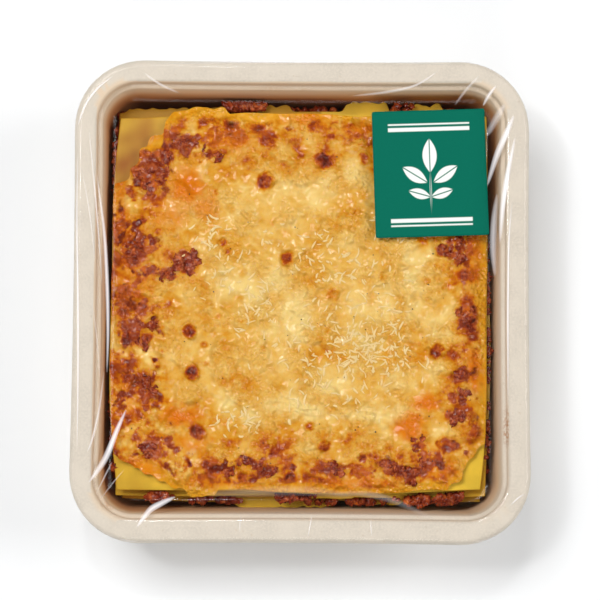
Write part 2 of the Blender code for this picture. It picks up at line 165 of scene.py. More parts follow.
# How far the lower sheets are darkened, partly oil stain and partly painted shade, and how far the oil has stained
# each bare corner of the top one
FAR_LEFT_STAIN_AND_SHADE, LOWER_STAIN_AND_SHADE = 0.85, 0.20
CORNER_STAINS = {(-1, 1): 1.0, (-1, -1): 0.50, (1, -1): 0.0, (1, 1): 0.40}

# Fields on the cheese: how far noise moves their outlines, and their patches
WARP_LENGTH = 6.0 * MM
WARP_REACH = 2.6 * MM
FINER_WARP = 0.4
FINER_WARP_SCALE = 3.1
CLOUD_LENGTH = 13.0 * MM
CURD_LENGTH = 5.0 * MM
PATCH_LENGTH = 8.0 * MM
WASH_LENGTH = 7.0 * MM

# Relief of the cheese: curds, thick pale places, and lumps and beads of meat
CURD_RISE = 0.42 * MM
PALE_RISE = 0.35 * MM
LUMP_LENGTH = 4.2 * MM
LUMP_RISE = 1.5 * MM
SAUCE_SINK = 0.45 * MM
BEAD_LENGTH = 2.6 * MM
MEAT_RISE = 0.7 * MM
BEAD_RISE = 0.8 * MM
PEBBLE_REACH = 0.62
TOPPING_SKIRT = 0.6 * MM
SKIRT_FOOT = 0.05 * MM
TOPPING_FLOOR = 0.2 * MM

# How brown the cheese is baked, from 0 to 1 along its colours
BAKE_MIDDLE = 0.25
BAKE_MARGIN, BAKE_MARGIN_PATCHES = 0.23, 0.50
BAKE_CLOUDS = 0.20
BAKE_PALE = 0.24
BAKE_THIN = 0.36
BAKE_HALO = 0.36
BAKE_OIL = 0.46
BAKE_SAUCE, BAKE_CHUNK = 0.66, 0.22
BAKE_MEAT = 0.72
BAKE_BLISTER = 0.80
THIN_MOST = 0.8
SKIRT_SHADE = 0.3

# Far apart places in the noise, so that no two uses of it look alike
LAYER_NOISE = 3.7
RAGU_NOISE = 5.0
BROAD_NOISE = 0.4
FINE_NOISE = 2.4
OUTLINE_NOISE = 1.0
SPILL_NOISE = 3.0
CORNER_NOISE = 4.0
CLOUD_NOISE = 3.0
CURD_NOISE = 6.0
PATCH_NOISE = 14.0
WASH_NOISE = 21.0
LUMP_NOISE = 0.5
BEAD_NOISE = 7.5
WARP_NOISE = 9.0
FILM_NOISE = 12.0
RANDOM_SEED = 7

# The camera, set by the photograph, whose 600 by 600 pixels place the marks below
CAMERA_PLACE = Vector((0.0, -70.0 * MM, 797.0 * MM))
CAMERA_AIM = Vector((-0.4 * MM, -0.4 * MM, 45.0 * MM))
LENS = 115.5
SENSOR = 36.0
PICTURE_SIDE = 600.0
FOOD_TOP = 35.5 * MM
# A pixel on the food
PIXEL = 0.397 * MM

# Lamps, all aimed at the middle of the floor: name, place and width in m, share of the key light's power
LAMPS = (
    ("soft key", (-0.85, 0.85, 2.0), 0.9, 0.76),
    ("right fill", (1.9, 0.3, 1.4), 1.2, 0.90),
    ("front fill", (-0.2, -2.0, 1.4), 1.2, 0.58),
    ("left fill", (-2.0, -0.2, 1.4), 1.2, 0.34),
    ("left glint", (-0.75, 0.35, 1.7), 0.18, 0.13),
    ("far glint", (-0.15, 0.85, 1.7), 0.18, 0.13),
)
FLOOR_HALF = 3.0
FLOOR_COLOUR = (0.925, 0.935, 0.945)

# Browned blisters: x, y, radius in pixels, darkness, height in mm
BLISTERS = (
    (323, 161, 11, 1.00, 1.0), (265, 181, 11, 0.95, 1.0), (287, 259, 9, 0.90, 0.8),
    (332, 295, 9, 0.50, 0.3), (190, 332, 9, 1.00, 0.9), (192, 373, 9, 1.00, 0.9),
    (437, 352, 9, 1.00, 0.9), (468, 322, 13, 1.00, 1.2), (325, 446, 8, 0.95, 0.8),
    (197, 432, 11, 0.90, 1.0), (309, 426, 6, 0.65, 0.2), (289, 478, 8, 1.00, 0.6),
    (321, 481, 5, 0.90, 0.3), (421, 241, 8, 0.75, 0.5), (441, 251, 7, 0.80, 0.6),
    (453, 243, 8, 0.85, 0.7), (159, 233, 7, 0.80, 0.5), (222, 243, 6, 0.80, 0.5),
    (226, 250, 6, 0.65, 0.5), (383, 277, 6, 0.45, 0.3), (427, 281, 5, 0.50, 0.1),
    (230, 209, 6, 0.35, 0.1), (218, 318, 5, 0.50, 0.2), (264, 141, 8, 0.85, 0.6),
    (225, 150, 6, 0.75, 0.5), (311, 128, 7, 0.70, 0.5), (331, 137, 6, 0.75, 0.4),
    (364, 159, 8, 0.75, 0.5), (204, 345, 4, 0.60, 0.3), (206, 364, 4, 0.50, 0.2),
    (209, 303, 5, 0.40, 0.2), (240, 300, 5, 0.35, 0.1), (240, 321, 4, 0.45, 0.1),
    (326, 331, 6, 0.40, 0.2), (319, 338, 6, 0.45, 0.2), (262, 350, 5, 0.35, 0.1),
    (126, 378, 6, 0.95, 0.2), (479, 431, 6, 1.00, 0.3), (418, 345, 4, 0.55, 0.1),
    (250, 236, 5, 0.30, 0.2), (297, 247, 5, 0.30, 0.1), (216, 192, 4, 0.50, 0.1),
    (243, 273, 6, 0.30, 0.1), (128, 422, 6, 0.80, 0.2), (256, 117, 6, 0.55, 0.3),
    (348, 120, 8, 0.60, 0.2), (360, 145, 5, 0.65, 0.3),
)

# Meat sauce that shows: x, y, half width, half height in pixels, strength, turn in degrees
SAUCE_FIELDS = (
    (187, 264, 14, 17, 1.00, -20), (162, 150, 40, 15, 1.00, 52), (148, 170, 20, 22, 1.00, 0),
    (178, 146, 20, 16, 0.95, 0),
    (153, 190, 20, 13, 0.95, 0), (207, 153, 18, 10, 0.75, 0), (119, 225, 9, 34, 0.95, 0),
    (130, 256, 17, 17, 0.95, 0), (146, 250, 16, 14, 0.80, 0), (160, 275, 17, 12, 0.75, 25),
    (127, 300, 12, 22, 0.75, 0), (143, 309, 14, 12, 0.65, 0), (129, 332, 13, 20, 1.00, 0),
    (144, 340, 14, 12, 0.80, 0), (157, 328, 9, 8, 0.80, 0), (146, 376, 18, 12, 0.75, 20),
    (149, 396, 20, 14, 0.90, 0), (121, 420, 13, 16, 0.85, 0), (155, 446, 19, 20, 0.90, 30),
    (164, 474, 20, 12, 0.95, -35), (130, 452, 16, 12, 0.55, 0), (207, 480, 26, 8, 0.60, 0),
    (250, 462, 34, 12, 0.70, 15), (270, 472, 34, 10, 0.75, 0), (333, 466, 20, 12, 0.85, 0),
    (300, 482, 34, 7, 0.60, 0), (405, 470, 34, 13, 1.00, 0), (385, 463, 14, 9, 0.85, 0),
    (430, 462, 22, 12, 0.90, 30), (447, 445, 16, 16, 0.75, 0), (459, 400, 11, 24, 0.95, 0),
    (463, 375, 11, 16, 0.95, 0), (476, 420, 12, 24, 0.70, 0), (456, 250, 12, 20, 0.85, 0),
    (462, 262, 10, 14, 0.70, 0), (466, 300, 12, 20, 0.55, 0), (473, 330, 13, 22, 0.80, 0),
    (230, 107, 22, 8, 0.65, 0), (265, 130, 16, 12, 0.60, 60), (318, 126, 12, 12, 0.60, 0),
    (352, 143, 20, 12, 0.50, 0), (476, 280, 8, 16, 0.45, 0), (228, 130, 34, 7, 0.35, -25),
)

# Where sauce shows in patches through thin cheese: x, y, half width, half height in pixels, strength
SAUCE_WASHES = (
    (134, 300, 34, 190, 0.95), (165, 150, 50, 34, 0.80), (230, 474, 110, 22, 0.85), (400, 470, 90, 22, 0.85),
    (470, 385, 20, 100, 0.95), (300, 124, 90, 14, 0.60), (460, 260, 18, 40, 0.80), (160, 450, 44, 44, 0.80),
)

# Orange oil that has run out of the cheese: x, y, half width, half height in pixels, strength
OIL_FIELDS = (
    (186, 188, 20, 24, 1.00), (205, 205, 16, 18, 0.60), (170, 215, 22, 20, 0.55), (180, 416, 24, 12, 1.00),
    (196, 440, 16, 14, 0.70), (409, 426, 20, 15, 1.00), (424, 404, 14, 13, 0.95), (232, 140, 30, 16, 0.55),
    (372, 128, 30, 10, 0.75), (305, 118, 30, 8, 0.60), (475, 372, 10, 30, 0.80), (130, 285, 24, 40, 0.40),
    (125, 400, 18, 40, 0.45), (475, 250, 12, 40, 0.50), (220, 482, 50, 8, 0.55), (350, 482, 60, 9, 0.60),
    (120, 210, 12, 44, 0.55), (146, 127, 24, 16, 0.70), (140, 470, 24, 14, 0.70), (440, 470, 30, 12, 0.45),
)

# Thick pale cheese that stands a little higher: x, y, half width, half height in pixels, strength
PALE_FIELDS = (
    (250, 200, 50, 30, 0.60), (300, 215, 60, 40, 0.55), (255, 285, 44, 34, 0.80), (300, 320, 26, 50, 0.95),
    (275, 350, 34, 34, 0.65), (370, 300, 44, 60, 0.60), (350, 385, 60, 22, 0.55), (290, 395, 26, 16, 0.70),
    (365, 415, 60, 12, 0.85), (300, 408, 34, 12, 0.85), (225, 403, 16, 12, 0.90), (420, 255, 24, 18, 0.85),
    (375, 435, 26, 16, 0.60), (330, 180, 22, 14, 0.60), (355, 170, 16, 16, 0.85), (420, 300, 30, 42, 0.85),
    (395, 385, 34, 16, 0.65), (440, 330, 16, 30, 0.85), (432, 375, 18, 28, 0.70), (160, 210, 18, 10, 0.45),
    (145, 355, 16, 8, 0.65),
    (285, 130, 18, 16, 0.40), (420, 445, 26, 8, 0.75), (170, 360, 10, 34, 0.45), (240, 415, 20, 10, 0.50),
)

# Where coarse grated shreds lie: x, y, half width, half height in pixels, how many
SHRED_FIELDS = (
    (356, 340, 50, 46, 130), (330, 368, 60, 44, 90), (390, 350, 34, 48, 60),
    (350, 270, 48, 40, 50), (300, 250, 44, 30, 36), (225, 270, 44, 30, 30),
    (245, 420, 30, 16, 40), (260, 305, 24, 30, 40), (400, 225, 30, 14, 24),
    (215, 232, 20, 16, 24),
)

# Whole lumps of minced meat on the top: x, y, radius in pixels
MEAT_LUMPS = (
    (186, 262, 17), (152, 168, 10), (163, 176, 9), (180, 137, 9), (142, 170, 8), (190, 145, 8),
    (166, 158, 7), (150, 188, 8), (128, 250, 8), (140, 258, 8), (167, 276, 10), (155, 328, 6),
    (144, 342, 8), (147, 380, 8), (152, 392, 9), (143, 386, 7), (150, 446, 12), (418, 445, 9),
    (465, 312, 10), (455, 417, 11), (446, 250, 8), (456, 244, 8), (458, 256, 7), (400, 467, 8),
    (412, 472, 9), (388, 464, 7), (424, 464, 7), (410, 480, 6), (330, 466, 6), (337, 470, 7),
    (245, 462, 8), (258, 468, 6), (272, 470, 7), (230, 475, 6), (463, 392, 7), (460, 372, 6),
    (206, 152, 6), (216, 158, 5),
)

HERB_COUNT = 95
HERB_REACH = 0.93

# Crooked ends of the sheets, by layer: side, left and right pixel, length in mm
PASTA_FLAPS = {
    3: ((-1, 238, 332, 2.6), (-1, 254, 266, 1.4), (-1, 352, 400, 1.2)),
    4: ((1, 125, 262, 2.2), (1, 268, 286, 3.0), (1, 348, 386, 4.2), (1, 408, 442, 4.0), (-1, 300, 350, 0.8)),
}
FLAP_CLEARANCE = 0.8 * MM
FLAP_START = 0.85
FLAP_WAVER_LENGTH = 3.0 * MM
# How far the ends of a crooked stretch run out, and how much it wavers
OVERHANG_SOFTNESS = 2.6 * MM
OVERHANG_WAVER = 0.5

# Where the cheese has run over the ends: side, left and right pixel, length in mm
SPILLS = ((1, 172, 222, 3.0), (-1, 192, 214, 2.4))
SPILL_START = 0.90
SPILL_WAVER_LENGTH = 4.0 * MM
SPILL_DROOP = 0.6

# Grains of mince strewn along the open sides: layer, from x, y to x, y in pixels, how many
SIDE_HEAPS = (
    (5, 228, 106, 266, 105, 50), (4, 284, 106, 350, 106, 26),
    (4, 386, 106, 470, 104, 40), (5, 388, 109, 412, 107, 10), (5, 280, 497, 316, 497, 26),
    (4, 340, 502, 386, 503, 36), (5, 396, 500, 440, 499, 34), (5, 440, 501, 464, 497, 20),
    (5, 146, 495, 178, 497, 30), (4, 180, 499, 240, 500, 24), (4, 110, 130, 109, 300, 50),
    (4, 109, 300, 111, 470, 50), (4, 491, 240, 492, 300, 24), (4, 492, 300, 491, 470, 50),
    (5, 485, 236, 488, 330, 26), (5, 486, 380, 487, 470, 20), (5, 110, 190, 111, 240, 16),
    (5, 111, 240, 111, 340, 34), (5, 111, 340, 113, 470, 40),
    (5, 230, 103, 262, 101, 40),
    (4, 112, 116, 112, 190, 40), (5, 112, 130, 112, 190, 30), (4, 112, 300, 112, 480, 70),
    (4, 300, 502, 340, 503, 16), (5, 488, 330, 487, 380, 16),
)
HEAP_SHARE = 0.7
HEAP_SPREAD = 0.26
HEAP_SCATTER = 2.5
HEAP_HEIGHTS = (-1.6, 1.2)

# Relief of the pebbles of meat and the flakes of herbs
BALL_RELIEF = 2.4
BALL_FINENESS = 1.9

# Film folds drawn with painted highlights, white streaks where the folds catch the light: places in pixels from end to
# end, width in mm, strength
FILM_FOLD_HIGHLIGHTS = (
    ((89, 130), (94, 180), (99, 240), (102, 285), 0.5, 0.55),
    ((97, 176), (104, 230), (107, 280), (108, 330), (107, 372), 1.0, 1.00),
    ((104, 372), (99, 410), (92, 440), (87, 452), 0.7, 0.55),
    ((126, 410), (117, 430), (107, 455), (98, 470), (89, 482), 1.7, 1.00),
    ((175, 497), (160, 504), (149, 511), (137, 527), 1.9, 1.00),
    ((112, 462), (105, 476), (97, 492), 0.5, 0.45),
    ((124, 470), (112, 484), (100, 500), 0.4, 0.35),
    ((479, 76), (466, 90), (455, 105), 0.9, 0.35),
    ((496, 86), (489, 95), (483, 106), 1.1, 0.80),
    ((505, 104), (496, 119), (487, 136), 2.2, 0.40),
    ((514, 115), (506, 134), (497, 155), (487, 186), 1.9, 0.95),
    ((515, 138), (508, 172), (503, 205), (500, 242), 1.6, 1.00),
    ((497, 194), (494, 220), (493, 250), (495, 276), 1.8, 0.55),
    ((512, 204), (509, 240), (508, 300), (508, 350), (508, 402), 0.6, 0.85),
    ((438, 71), (416, 85), (386, 92), (353, 96), 0.8, 0.50),
    ((144, 73), (160, 84), (179, 93), 0.8, 0.45),
    ((113, 76), (98, 88), (86, 104), (77, 128), 0.8, 0.70),
    ((78, 150), (77, 220), (78, 300), (78, 380), (77, 450), 0.7, 0.75),
    ((150, 64), (230, 63), (310, 63), (390, 63), (450, 65), 0.6, 0.45),
    ((330, 494), (365, 494), (394, 501), (436, 520), 2.0, 0.14),
    ((205, 494), (250, 492), (310, 491), (352, 497), 3.0, 0.10),
    ((312, 515), (310, 526), (308, 537), 0.4, 0.50),
    ((241, 516), (240, 524), (240, 532), 0.4, 0.40),
    ((371, 519), (371, 528), (372, 536), 0.4, 0.45),
    ((511, 505), (517, 499), (524, 494), 0.5, 0.60),
    ((120, 538), (128, 541), (137, 541), 0.5, 0.40),
    ((478, 541), (488, 540), (496, 536), 0.5, 0.40),
    ((92, 300), (97, 340), (100, 380), 0.4, 0.30),
    ((82, 170), (90, 215), (95, 262), 0.4, 0.35),
)
FOLD_STEPS = 10
FOLD_CELLS = 8
FOLD_SPREAD = 0.75
FOLD_RIDGE = 0.12 * MM
FOLD_LIFT = 0.03 * MM
FOLD_HIGHLIGHT_OPACITY = 0.85

# Sauce smeared on the tray's inner wall: x, y, half width, half height in pixels
WALL_STAINS = (
    (334, 508, 3, 2), (352, 509, 6, 2), (366, 508, 9, 2), (378, 509, 5, 2), (113, 504, 5, 3),
    (117, 499, 3, 2), (506, 425, 3, 9), (503, 436, 2, 5), (278, 95, 6, 2), (268, 97, 5, 2),
    (300, 97, 4, 1), (102, 210, 2, 12),
)
STAIN_HEIGHT = 0.6 * RIM_HEIGHT
STAIN_SPREAD = 1.6
STAIN_FLOOR = 0.35 * RIM_HEIGHT
# Depth below the rim at which the inner wall starts to darken, partly soaking and partly painted shade
SOAK_AND_SHADE_START = 5.0 * MM


def linear(hex_colour):
    """A six-digit sRGB hex colour as linear red, green and blue."""
    parts = [int(hex_colour[place : place + 2], 16) / 255 for place in (0, 2, 4)]
    return tuple(part / 12.92 if part <= 0.04045 else ((part + 0.055) / 1.055) ** 2.4 for part in parts)


CAMERA_TURN = (CAMERA_AIM - CAMERA_PLACE).to_track_quat("-Z", "Y")


def from_photo(px, py, height):
    """Where the camera's line through this pixel crosses this height, in metres."""
    focus = LENS / SENSOR * PICTURE_SIDE
    half = PICTURE_SIDE / 2
    line = CAMERA_TURN @ Vector(((px - half) / focus, (half - py) / focus, -1.0))
    place = CAMERA_PLACE + line * ((height - CAMERA_PLACE.z) / line.z)
    return place.x, place.y


def smooth_step(low, high, value):
    """From 0 at low to 1 at high, which may lie below it."""
    share = min(max((value - low) / (high - low), 0.0), 1.0)
    return share * share * (3.0 - 2.0 * share)


class PackColours(bpy.types.PropertyGroup):
    """Base colours of the pack and its food, as the camera should see them in even light."""

    pulp: FloatVectorProperty(
        name="Pulp", description="Moulded plant-fibre pulp", subtype="COLOR", default=linear("d9cebe"))
    oil: FloatVectorProperty(
        name="Orange oil", description="Oil that has run out", subtype="COLOR", default=linear("e07a06"))
    pasta: FloatVectorProperty(
        name="Pasta", description="Cooked egg pasta", subtype="COLOR", default=linear("ffd648"))
    label: FloatVectorProperty(
        name="Label", description="Printed paper", subtype="COLOR", default=linear("006a56"))
    print_tint: FloatVectorProperty(
        name="Print", description="Lines and leaves on the label", subtype="COLOR", default=linear("f1f3ee"))


class PackSizes(bpy.types.PropertyGroup):
    """Fineness and scatter that a user would change."""

    topping_cells: IntProperty(
        name="Topping cells", description="Grid cells along each side of the cheese", default=300, min=32)
    label_thickness: FloatProperty(
        name="Label thickness", description="Paper of the label", default=0.12 * MM, unit="LENGTH")
    label_corner: FloatProperty(
        name="Label corner", description="Radius of its corners", default=0.7 * MM, unit="LENGTH")
    key_light: FloatProperty(
        name="Key light", description="Power of the large soft light", default=29.0, unit="POWER")
    sky_light: FloatProperty(
        name="Sky light", description="Strength of the even light from all round", default=0.14)


def settings():
    """The user's colours and sizes."""
    return bpy.context.scene.lasagne_colours, bpy.context.scene.lasagne_sizes


def bowed(x, y):
    """Draws the sides in a little between the corners."""
    across = 1.0 - SIDE_BOW / HALF_X * (1.0 - (y / HALF_Y) ** 2)
    along = 1.0 - SIDE_BOW / HALF_Y * (1.0 - (x / HALF_X) ** 2)
    return x * across, y * along


RING_POINTS = 4 * (CORNER_STEPS + SIDE_STEPS)


def ring_point(index, inset, height):
    """A place on the rounded rectangle this far inside the pack's outline, anticlockwise."""
    radius = max(CORNER_RADIUS - CORNER_TIGHTENING * inset, SMALLEST_RADIUS)
    reach_x = HALF_X - inset - radius
    reach_y = HALF_Y - inset - radius
    quarter, step = divmod(index, CORNER_STEPS + SIDE_STEPS)
    signs = ((1, 1), (-1, 1), (-1, -1), (1, -1), (1, 1))

    def arc(corner, turn):
        angle = math.pi / 2 * (corner + turn)
        sign = signs[corner]
        return Vector((sign[0] * reach_x + radius * math.cos(angle), sign[1] * reach_y + radius * math.sin(angle)))

    if step <= CORNER_STEPS:
        place = arc(quarter, step / CORNER_STEPS)
    else:
        share = (step - CORNER_STEPS) / SIDE_STEPS
        place = arc(quarter, 1.0).lerp(arc(quarter + 1, 0.0), share)
    return Vector((*bowed(*place), height))


def loft(profile):
    """A dish as a bmesh: a circle extruded from ring to ring of (inset, height), closed at the last."""
    bm = bmesh.new()
    order = bm.verts.layers.int.new("order")
    bmesh.ops.create_circle(bm, segments=RING_POINTS, radius=1.0)
    for vertex in bm.verts:
        vertex[order] = round(math.atan2(-vertex.co.x, vertex.co.y) / math.tau * RING_POINTS) % RING_POINTS
        vertex.co = ring_point(vertex[order], *profile[0])
    edges = bm.edges[:]
    for inset, height in profile[1:]:
        made = bmesh.ops.extrude_edge_only(bm, edges=edges)["geom"]
        edges = [item for item in made if isinstance(item, bmesh.types.BMEdge) and item.is_boundary]
        for item in made:
            if isinstance(item, bmesh.types.BMVert):
                item.co = ring_point(item[order], inset, height)
    bmesh.ops.contextual_create(bm, geom=edges)
    bmesh.ops.recalc_face_normals(bm, faces=bm.faces)
    return bm


def piece(bm, name, material, replaced=()):
    """The bmesh as a smooth piece that rides on the pack's root body, with its material."""
    mesh = bpy.data.meshes.new(name)
    bm.to_mesh(mesh)
    bm.free()
    mesh.shade_smooth()
    mesh.materials.append(material)
    made = bpy.data.objects.new(name, mesh)
    bpy.context.scene.collection.objects.link(made)
    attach(made, "root")
    if replaced:
        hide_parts(*replaced)
    return made


def lip_profile():
    points = [(0.0, RIM_HEIGHT - LIP_DROP)]
    for step in range(LIP_STEPS + 1):
        angle = math.pi / 2 * step / LIP_STEPS
        inset = LIP_LEAN + LIP_ROUND_WIDTH * (1.0 - math.cos(angle))
        points.append((inset, RIM_HEIGHT - LIP_ROUND_DROP * (1.0 - math.sin(angle))))
    points.append((RIM_FLAT_INSET, RIM_HEIGHT))
    return points


def wall_inset(height):
    return WALL_INSET + (RIM_HEIGHT - WALL_DROP - height) * math.tan(WALL_DRAFT)


def tray_profile():
    points = lip_profile()
    for share, drop in STEP_SHOULDERS:
        points.append((RIM_FLAT_INSET + share * (STEP_INSET - RIM_FLAT_INSET), RIM_HEIGHT - drop * MM))
    points.append((STEP_INSET, RIM_HEIGHT - STEP_DROP))
    points.append((SHELF_INSET, RIM_HEIGHT - SHELF_DROP))
    points.append((WALL_INSET, RIM_HEIGHT - WALL_DROP))
    fillet_top = TRAY_WALL + FLOOR_FILLET
    for step in range(1, WALL_STEPS + 1):
        height = RIM_HEIGHT - WALL_DROP + (fillet_top - RIM_HEIGHT + WALL_DROP) * step / WALL_STEPS
        points.append((wall_inset(height), height))
    for step in range(1, FILLET_STEPS + 1):
        angle = math.pi / 2 * step / FILLET_STEPS
        inset = wall_inset(fillet_top) + FLOOR_FILLET * (1.0 - math.cos(angle))
        points.append((inset, TRAY_WALL + FLOOR_FILLET * (1.0 - math.sin(angle))))
    return [(inset + TRAY_GAP, height) for inset, height in points]


def film_height(inset):
    """Height of the film between the rim and the food, this far inside the pack's outline."""
    start = RIM_HEIGHT + FILM_OUTSET - FILM_EDGE_FALL
    fall = start - RIM_HEIGHT + FILM_DIP
    return start - fall * smooth_step(FILM_SLOPE_START, FILM_SLOPE_END, inset)


def film_profile():
    lip = lip_profile()
    points = [(0.0, RIM_HEIGHT - LIP_DROP - 0.3 * MM)]
    for before, here, after in zip(lip, lip[1:], lip[2:]):
        along = Vector(after) - Vector(before)
        outward = Vector((-along.y, along.x)).normalized() * FILM_OUTSET
        points.append((here[0] + FILM_OUTSET + outward.x, here[1] + outward.y))
    points.append((RIM_FLAT_INSET + FILM_OUTSET, RIM_HEIGHT + FILM_OUTSET))
    for step in range(FILM_SLOPE_STEPS + 1):
        inset = FILM_SLOPE_START + (FILM_SLOPE_END - FILM_SLOPE_START) * step / FILM_SLOPE_STEPS
        points.append((inset, film_height(inset)))
    for step in range(1, FILM_INNER_RINGS + 1):
        inset = FILM_SLOPE_END + (FILM_LAST_INSET - FILM_SLOPE_END) * step / FILM_INNER_RINGS
        points.append((inset, film_height(inset)))
    return points


def add_node(tree, kind, inputs=(), output=0, stops=(), **values):
    """Adds a shader node with its settings, and gives one of its outputs.

    The inputs are named, numbered or in order. Each is a number, a colour or an output to link."""
    node = tree.nodes.new("ShaderNode" + kind)
    for name, value in values.items():
        setattr(node, name, value)
    for place, _ in stops[1:-1]:
        node.color_ramp.elements.new(place)
    for element, (place, hex_colour) in zip(node.color_ramp.elements if stops else (), stops):
        element.position = place
        element.color = (*linear(hex_colour), 1.0)
    for place, value in inputs.items() if isinstance(inputs, dict) else enumerate(inputs):
        socket = node.inputs[place]
        if isinstance(value, bpy.types.NodeSocket):
            tree.links.new(value, socket)
        else:
            socket.default_value = (*value, 1.0) if socket.type == "RGBA" else value
    return node.outputs[output] if node.outputs else None


def new_material(name):
    """An empty node material, and the function that adds nodes to it."""
    material = bpy.data.materials.new(name)
    material.use_nodes = True
    material.node_tree.nodes.clear()
    return material, partial(add_node, material.node_tree)


# Settings that many nodes share
ADD, SUBTRACT, MULTIPLY, MAXIMUM, POWER, ABSOLUTE = (
    {"operation": name} for name in ("ADD", "SUBTRACT", "MULTIPLY", "MAXIMUM", "POWER", "ABSOLUTE"))
SMOOTH = {"interpolation_type": "SMOOTHSTEP"}
COLOURS = {"data_type": "RGBA", "output": 2}

# From thick pale cheese over golden, thin cheese to sauce and scorched crust
BAKE_STOPS = (
    (0.00, "f0d082"), (0.16, "e6b659"), (0.32, "dd9f32"), (0.46, "d4850c"), (0.58, "bd5c08"),
    (0.70, "a2400e"), (0.84, "842c0d"), (1.00, "5c1c0a"),
)
# From clean pulp to pulp that sauce has soaked, darkened further by painted shade
WALL_SOAK_AND_SHADE_STOPS = ((0.0, "e0cfb8"), (0.35, "e2c6a4"), (0.7, "d09c6c"), (1.0, "b4713e"))
# From dark wet sauce over browned meat to orange oil
MEAT_STOPS = ((0.0, "5a1808"), (0.35, "842a0e"), (0.62, "a64c22"), (0.82, "c0602c"), (1.0, "cf6a0c"))


def pulp_material():
    """Moulded sugar-cane pulp: matt and cream, with a fine fibrous tooth and a few darker fibres, and inner walls
    darkened partly by soaking and partly by painted shade.
    """
    colours, _ = settings()
    material, add = new_material("moulded pulp")
    place = add("TexCoord", output="Object")
    cloud, fibre, specks, gaps = (
        add("TexNoise", {"Vector": place, "Scale": 1.0 / (width * MM), "Detail": detail, "Roughness": tooth})
        for width, detail, tooth in ((9.0, 4.0, 0.5), (0.9, 4.0, 0.65), (1.6, 1.0, 0.5), (1.1, 2.0, 0.5)))
    stain = add("Attribute", output="Fac", attribute_name="stain")
    inner = add("Attribute", output="Fac", attribute_name="inner")
    fleck = add("Math", (add("MapRange", (specks, 0.70, 0.76), **SMOOTH), 0.22), **MULTIPLY)
    broken = add("Math", (stain, add("MapRange", (gaps, 0.40, 0.56), **SMOOTH)), **MULTIPLY)
    colour = tuple(0.90 * part for part in colours.pulp)
    for share, over in (
        (add("MapRange", (cloud, 0.3, 0.7), **SMOOTH), colours.pulp),
        (add("MapRange", (fibre, 0.35, 0.75), **SMOOTH), tuple(min(1.0, 1.06 * part) for part in colours.pulp)),
        (fleck, linear("b79c77")),
        (broken, linear("a8692f")),
        # Inner walls: sauce soaking and painted shade, darkest on the far and left walls and towards the food
        (add("MapRange", (inner, 0.0, 0.35), **SMOOTH), add("ValToRGB", (inner,), stops=WALL_SOAK_AND_SHADE_STOPS)),
    ):
        colour = add("Mix", {0: share, 6: colour, 7: over}, **COLOURS)
    relief = add("Math", (fibre, add("Math", (cloud, 1.5), **MULTIPLY)), **ADD)
    bump = add("Bump", {"Strength": 0.55, "Distance": 0.10 * MM, "Height": relief})
    shader = add("BsdfPrincipled", {"Base Color": colour, "Normal": bump, "Roughness": 0.78})
    add("OutputMaterial", (shader,))
    return material


def film_material():
    """Stretched clear film: nearly invisible head on, with soft bright reflections on its curves."""
    material, add = new_material("clear film")
    place = add("TexCoord", output="Object")
    wrinkle = add("TexNoise", {"Vector": place, "Scale": 1.0 / (7.0 * MM), "Detail": 2.0})
    ripple = add("Bump", {"Strength": 0.35, "Distance": 0.10 * MM, "Height": wrinkle})
    through = add("BsdfTransparent", {"Color": (0.985, 0.985, 0.985)})
    gloss = add("BsdfGlossy", {"Roughness": 0.08, "Normal": ripple})
    facing = add("LayerWeight", {"Blend": 0.5, "Normal": ripple}, "Facing")
    grazing = add("Math", (add("Math", (facing, 4.0), **POWER), 0.25), **MULTIPLY)
    mirror = add("Math", (grazing, 0.014), **ADD)
    add("OutputMaterial", (add("MixShader", (mirror, through, gloss)),))
    return material


def fold_highlight_material():
    """Film drawn into a fold: a soft white line, a painted highlight that glows faintly, fading at its edges and ends.
    """
    material, add = new_material("painted fold highlights on clear film")
    strength = add("Attribute", output="Fac", attribute_name="fold_highlight")
    # Painted highlight: a white surface that also glows faintly through its emission
    white = add("BsdfPrincipled", {
        "Base Color": (0.93, 0.91, 0.93), "Roughness": 0.25,
        "Emission Color": (0.95, 0.93, 0.95), "Emission Strength": 0.30})
    add("OutputMaterial", (add("MixShader", (strength, add("BsdfTransparent"), white)),))
    return material


def pasta_material():
    """Cooked egg pasta: smooth, damp and slightly translucent, paler where it is lit at an edge."""
    colours, _ = settings()
    material, add = new_material("cooked egg pasta")
    place = add("TexCoord", output="Object")
    cloud, fine = (
        add("TexNoise", {"Vector": place, "Scale": 1.0 / (width * MM), "Detail": 3.0}) for width in (14.0, 1.2))
    # Oil stains, which on the lower sheets also carry painted shade
    oily = add("Math", (add("Attribute", output="Fac", attribute_name="oil"), 0.8), **MULTIPLY)
    colour = tuple(0.80 * part for part in colours.pasta)
    for share, over in ((add("MapRange", (cloud, 0.32, 0.68), **SMOOTH), colours.pasta), (oily, linear("98580c"))):
        colour = add("Mix", {0: share, 6: colour, 7: over}, **COLOURS)
    relief = add("Math", (cloud, add("Math", (fine, 0.15), **MULTIPLY)), **ADD)
    bump = add("Bump", {"Strength": 0.5, "Distance": 0.35 * MM, "Height": relief})
    shader = add("BsdfPrincipled", {
        "Base Color": colour, "Normal": bump, "Roughness": 0.4, "Specular IOR Level": 0.12,
        "Subsurface Weight": 0.10, "Subsurface Radius": (1.0, 0.8, 0.5), "Subsurface Scale": 0.5 * MM})
    add("OutputMaterial", (shader,))
    return material


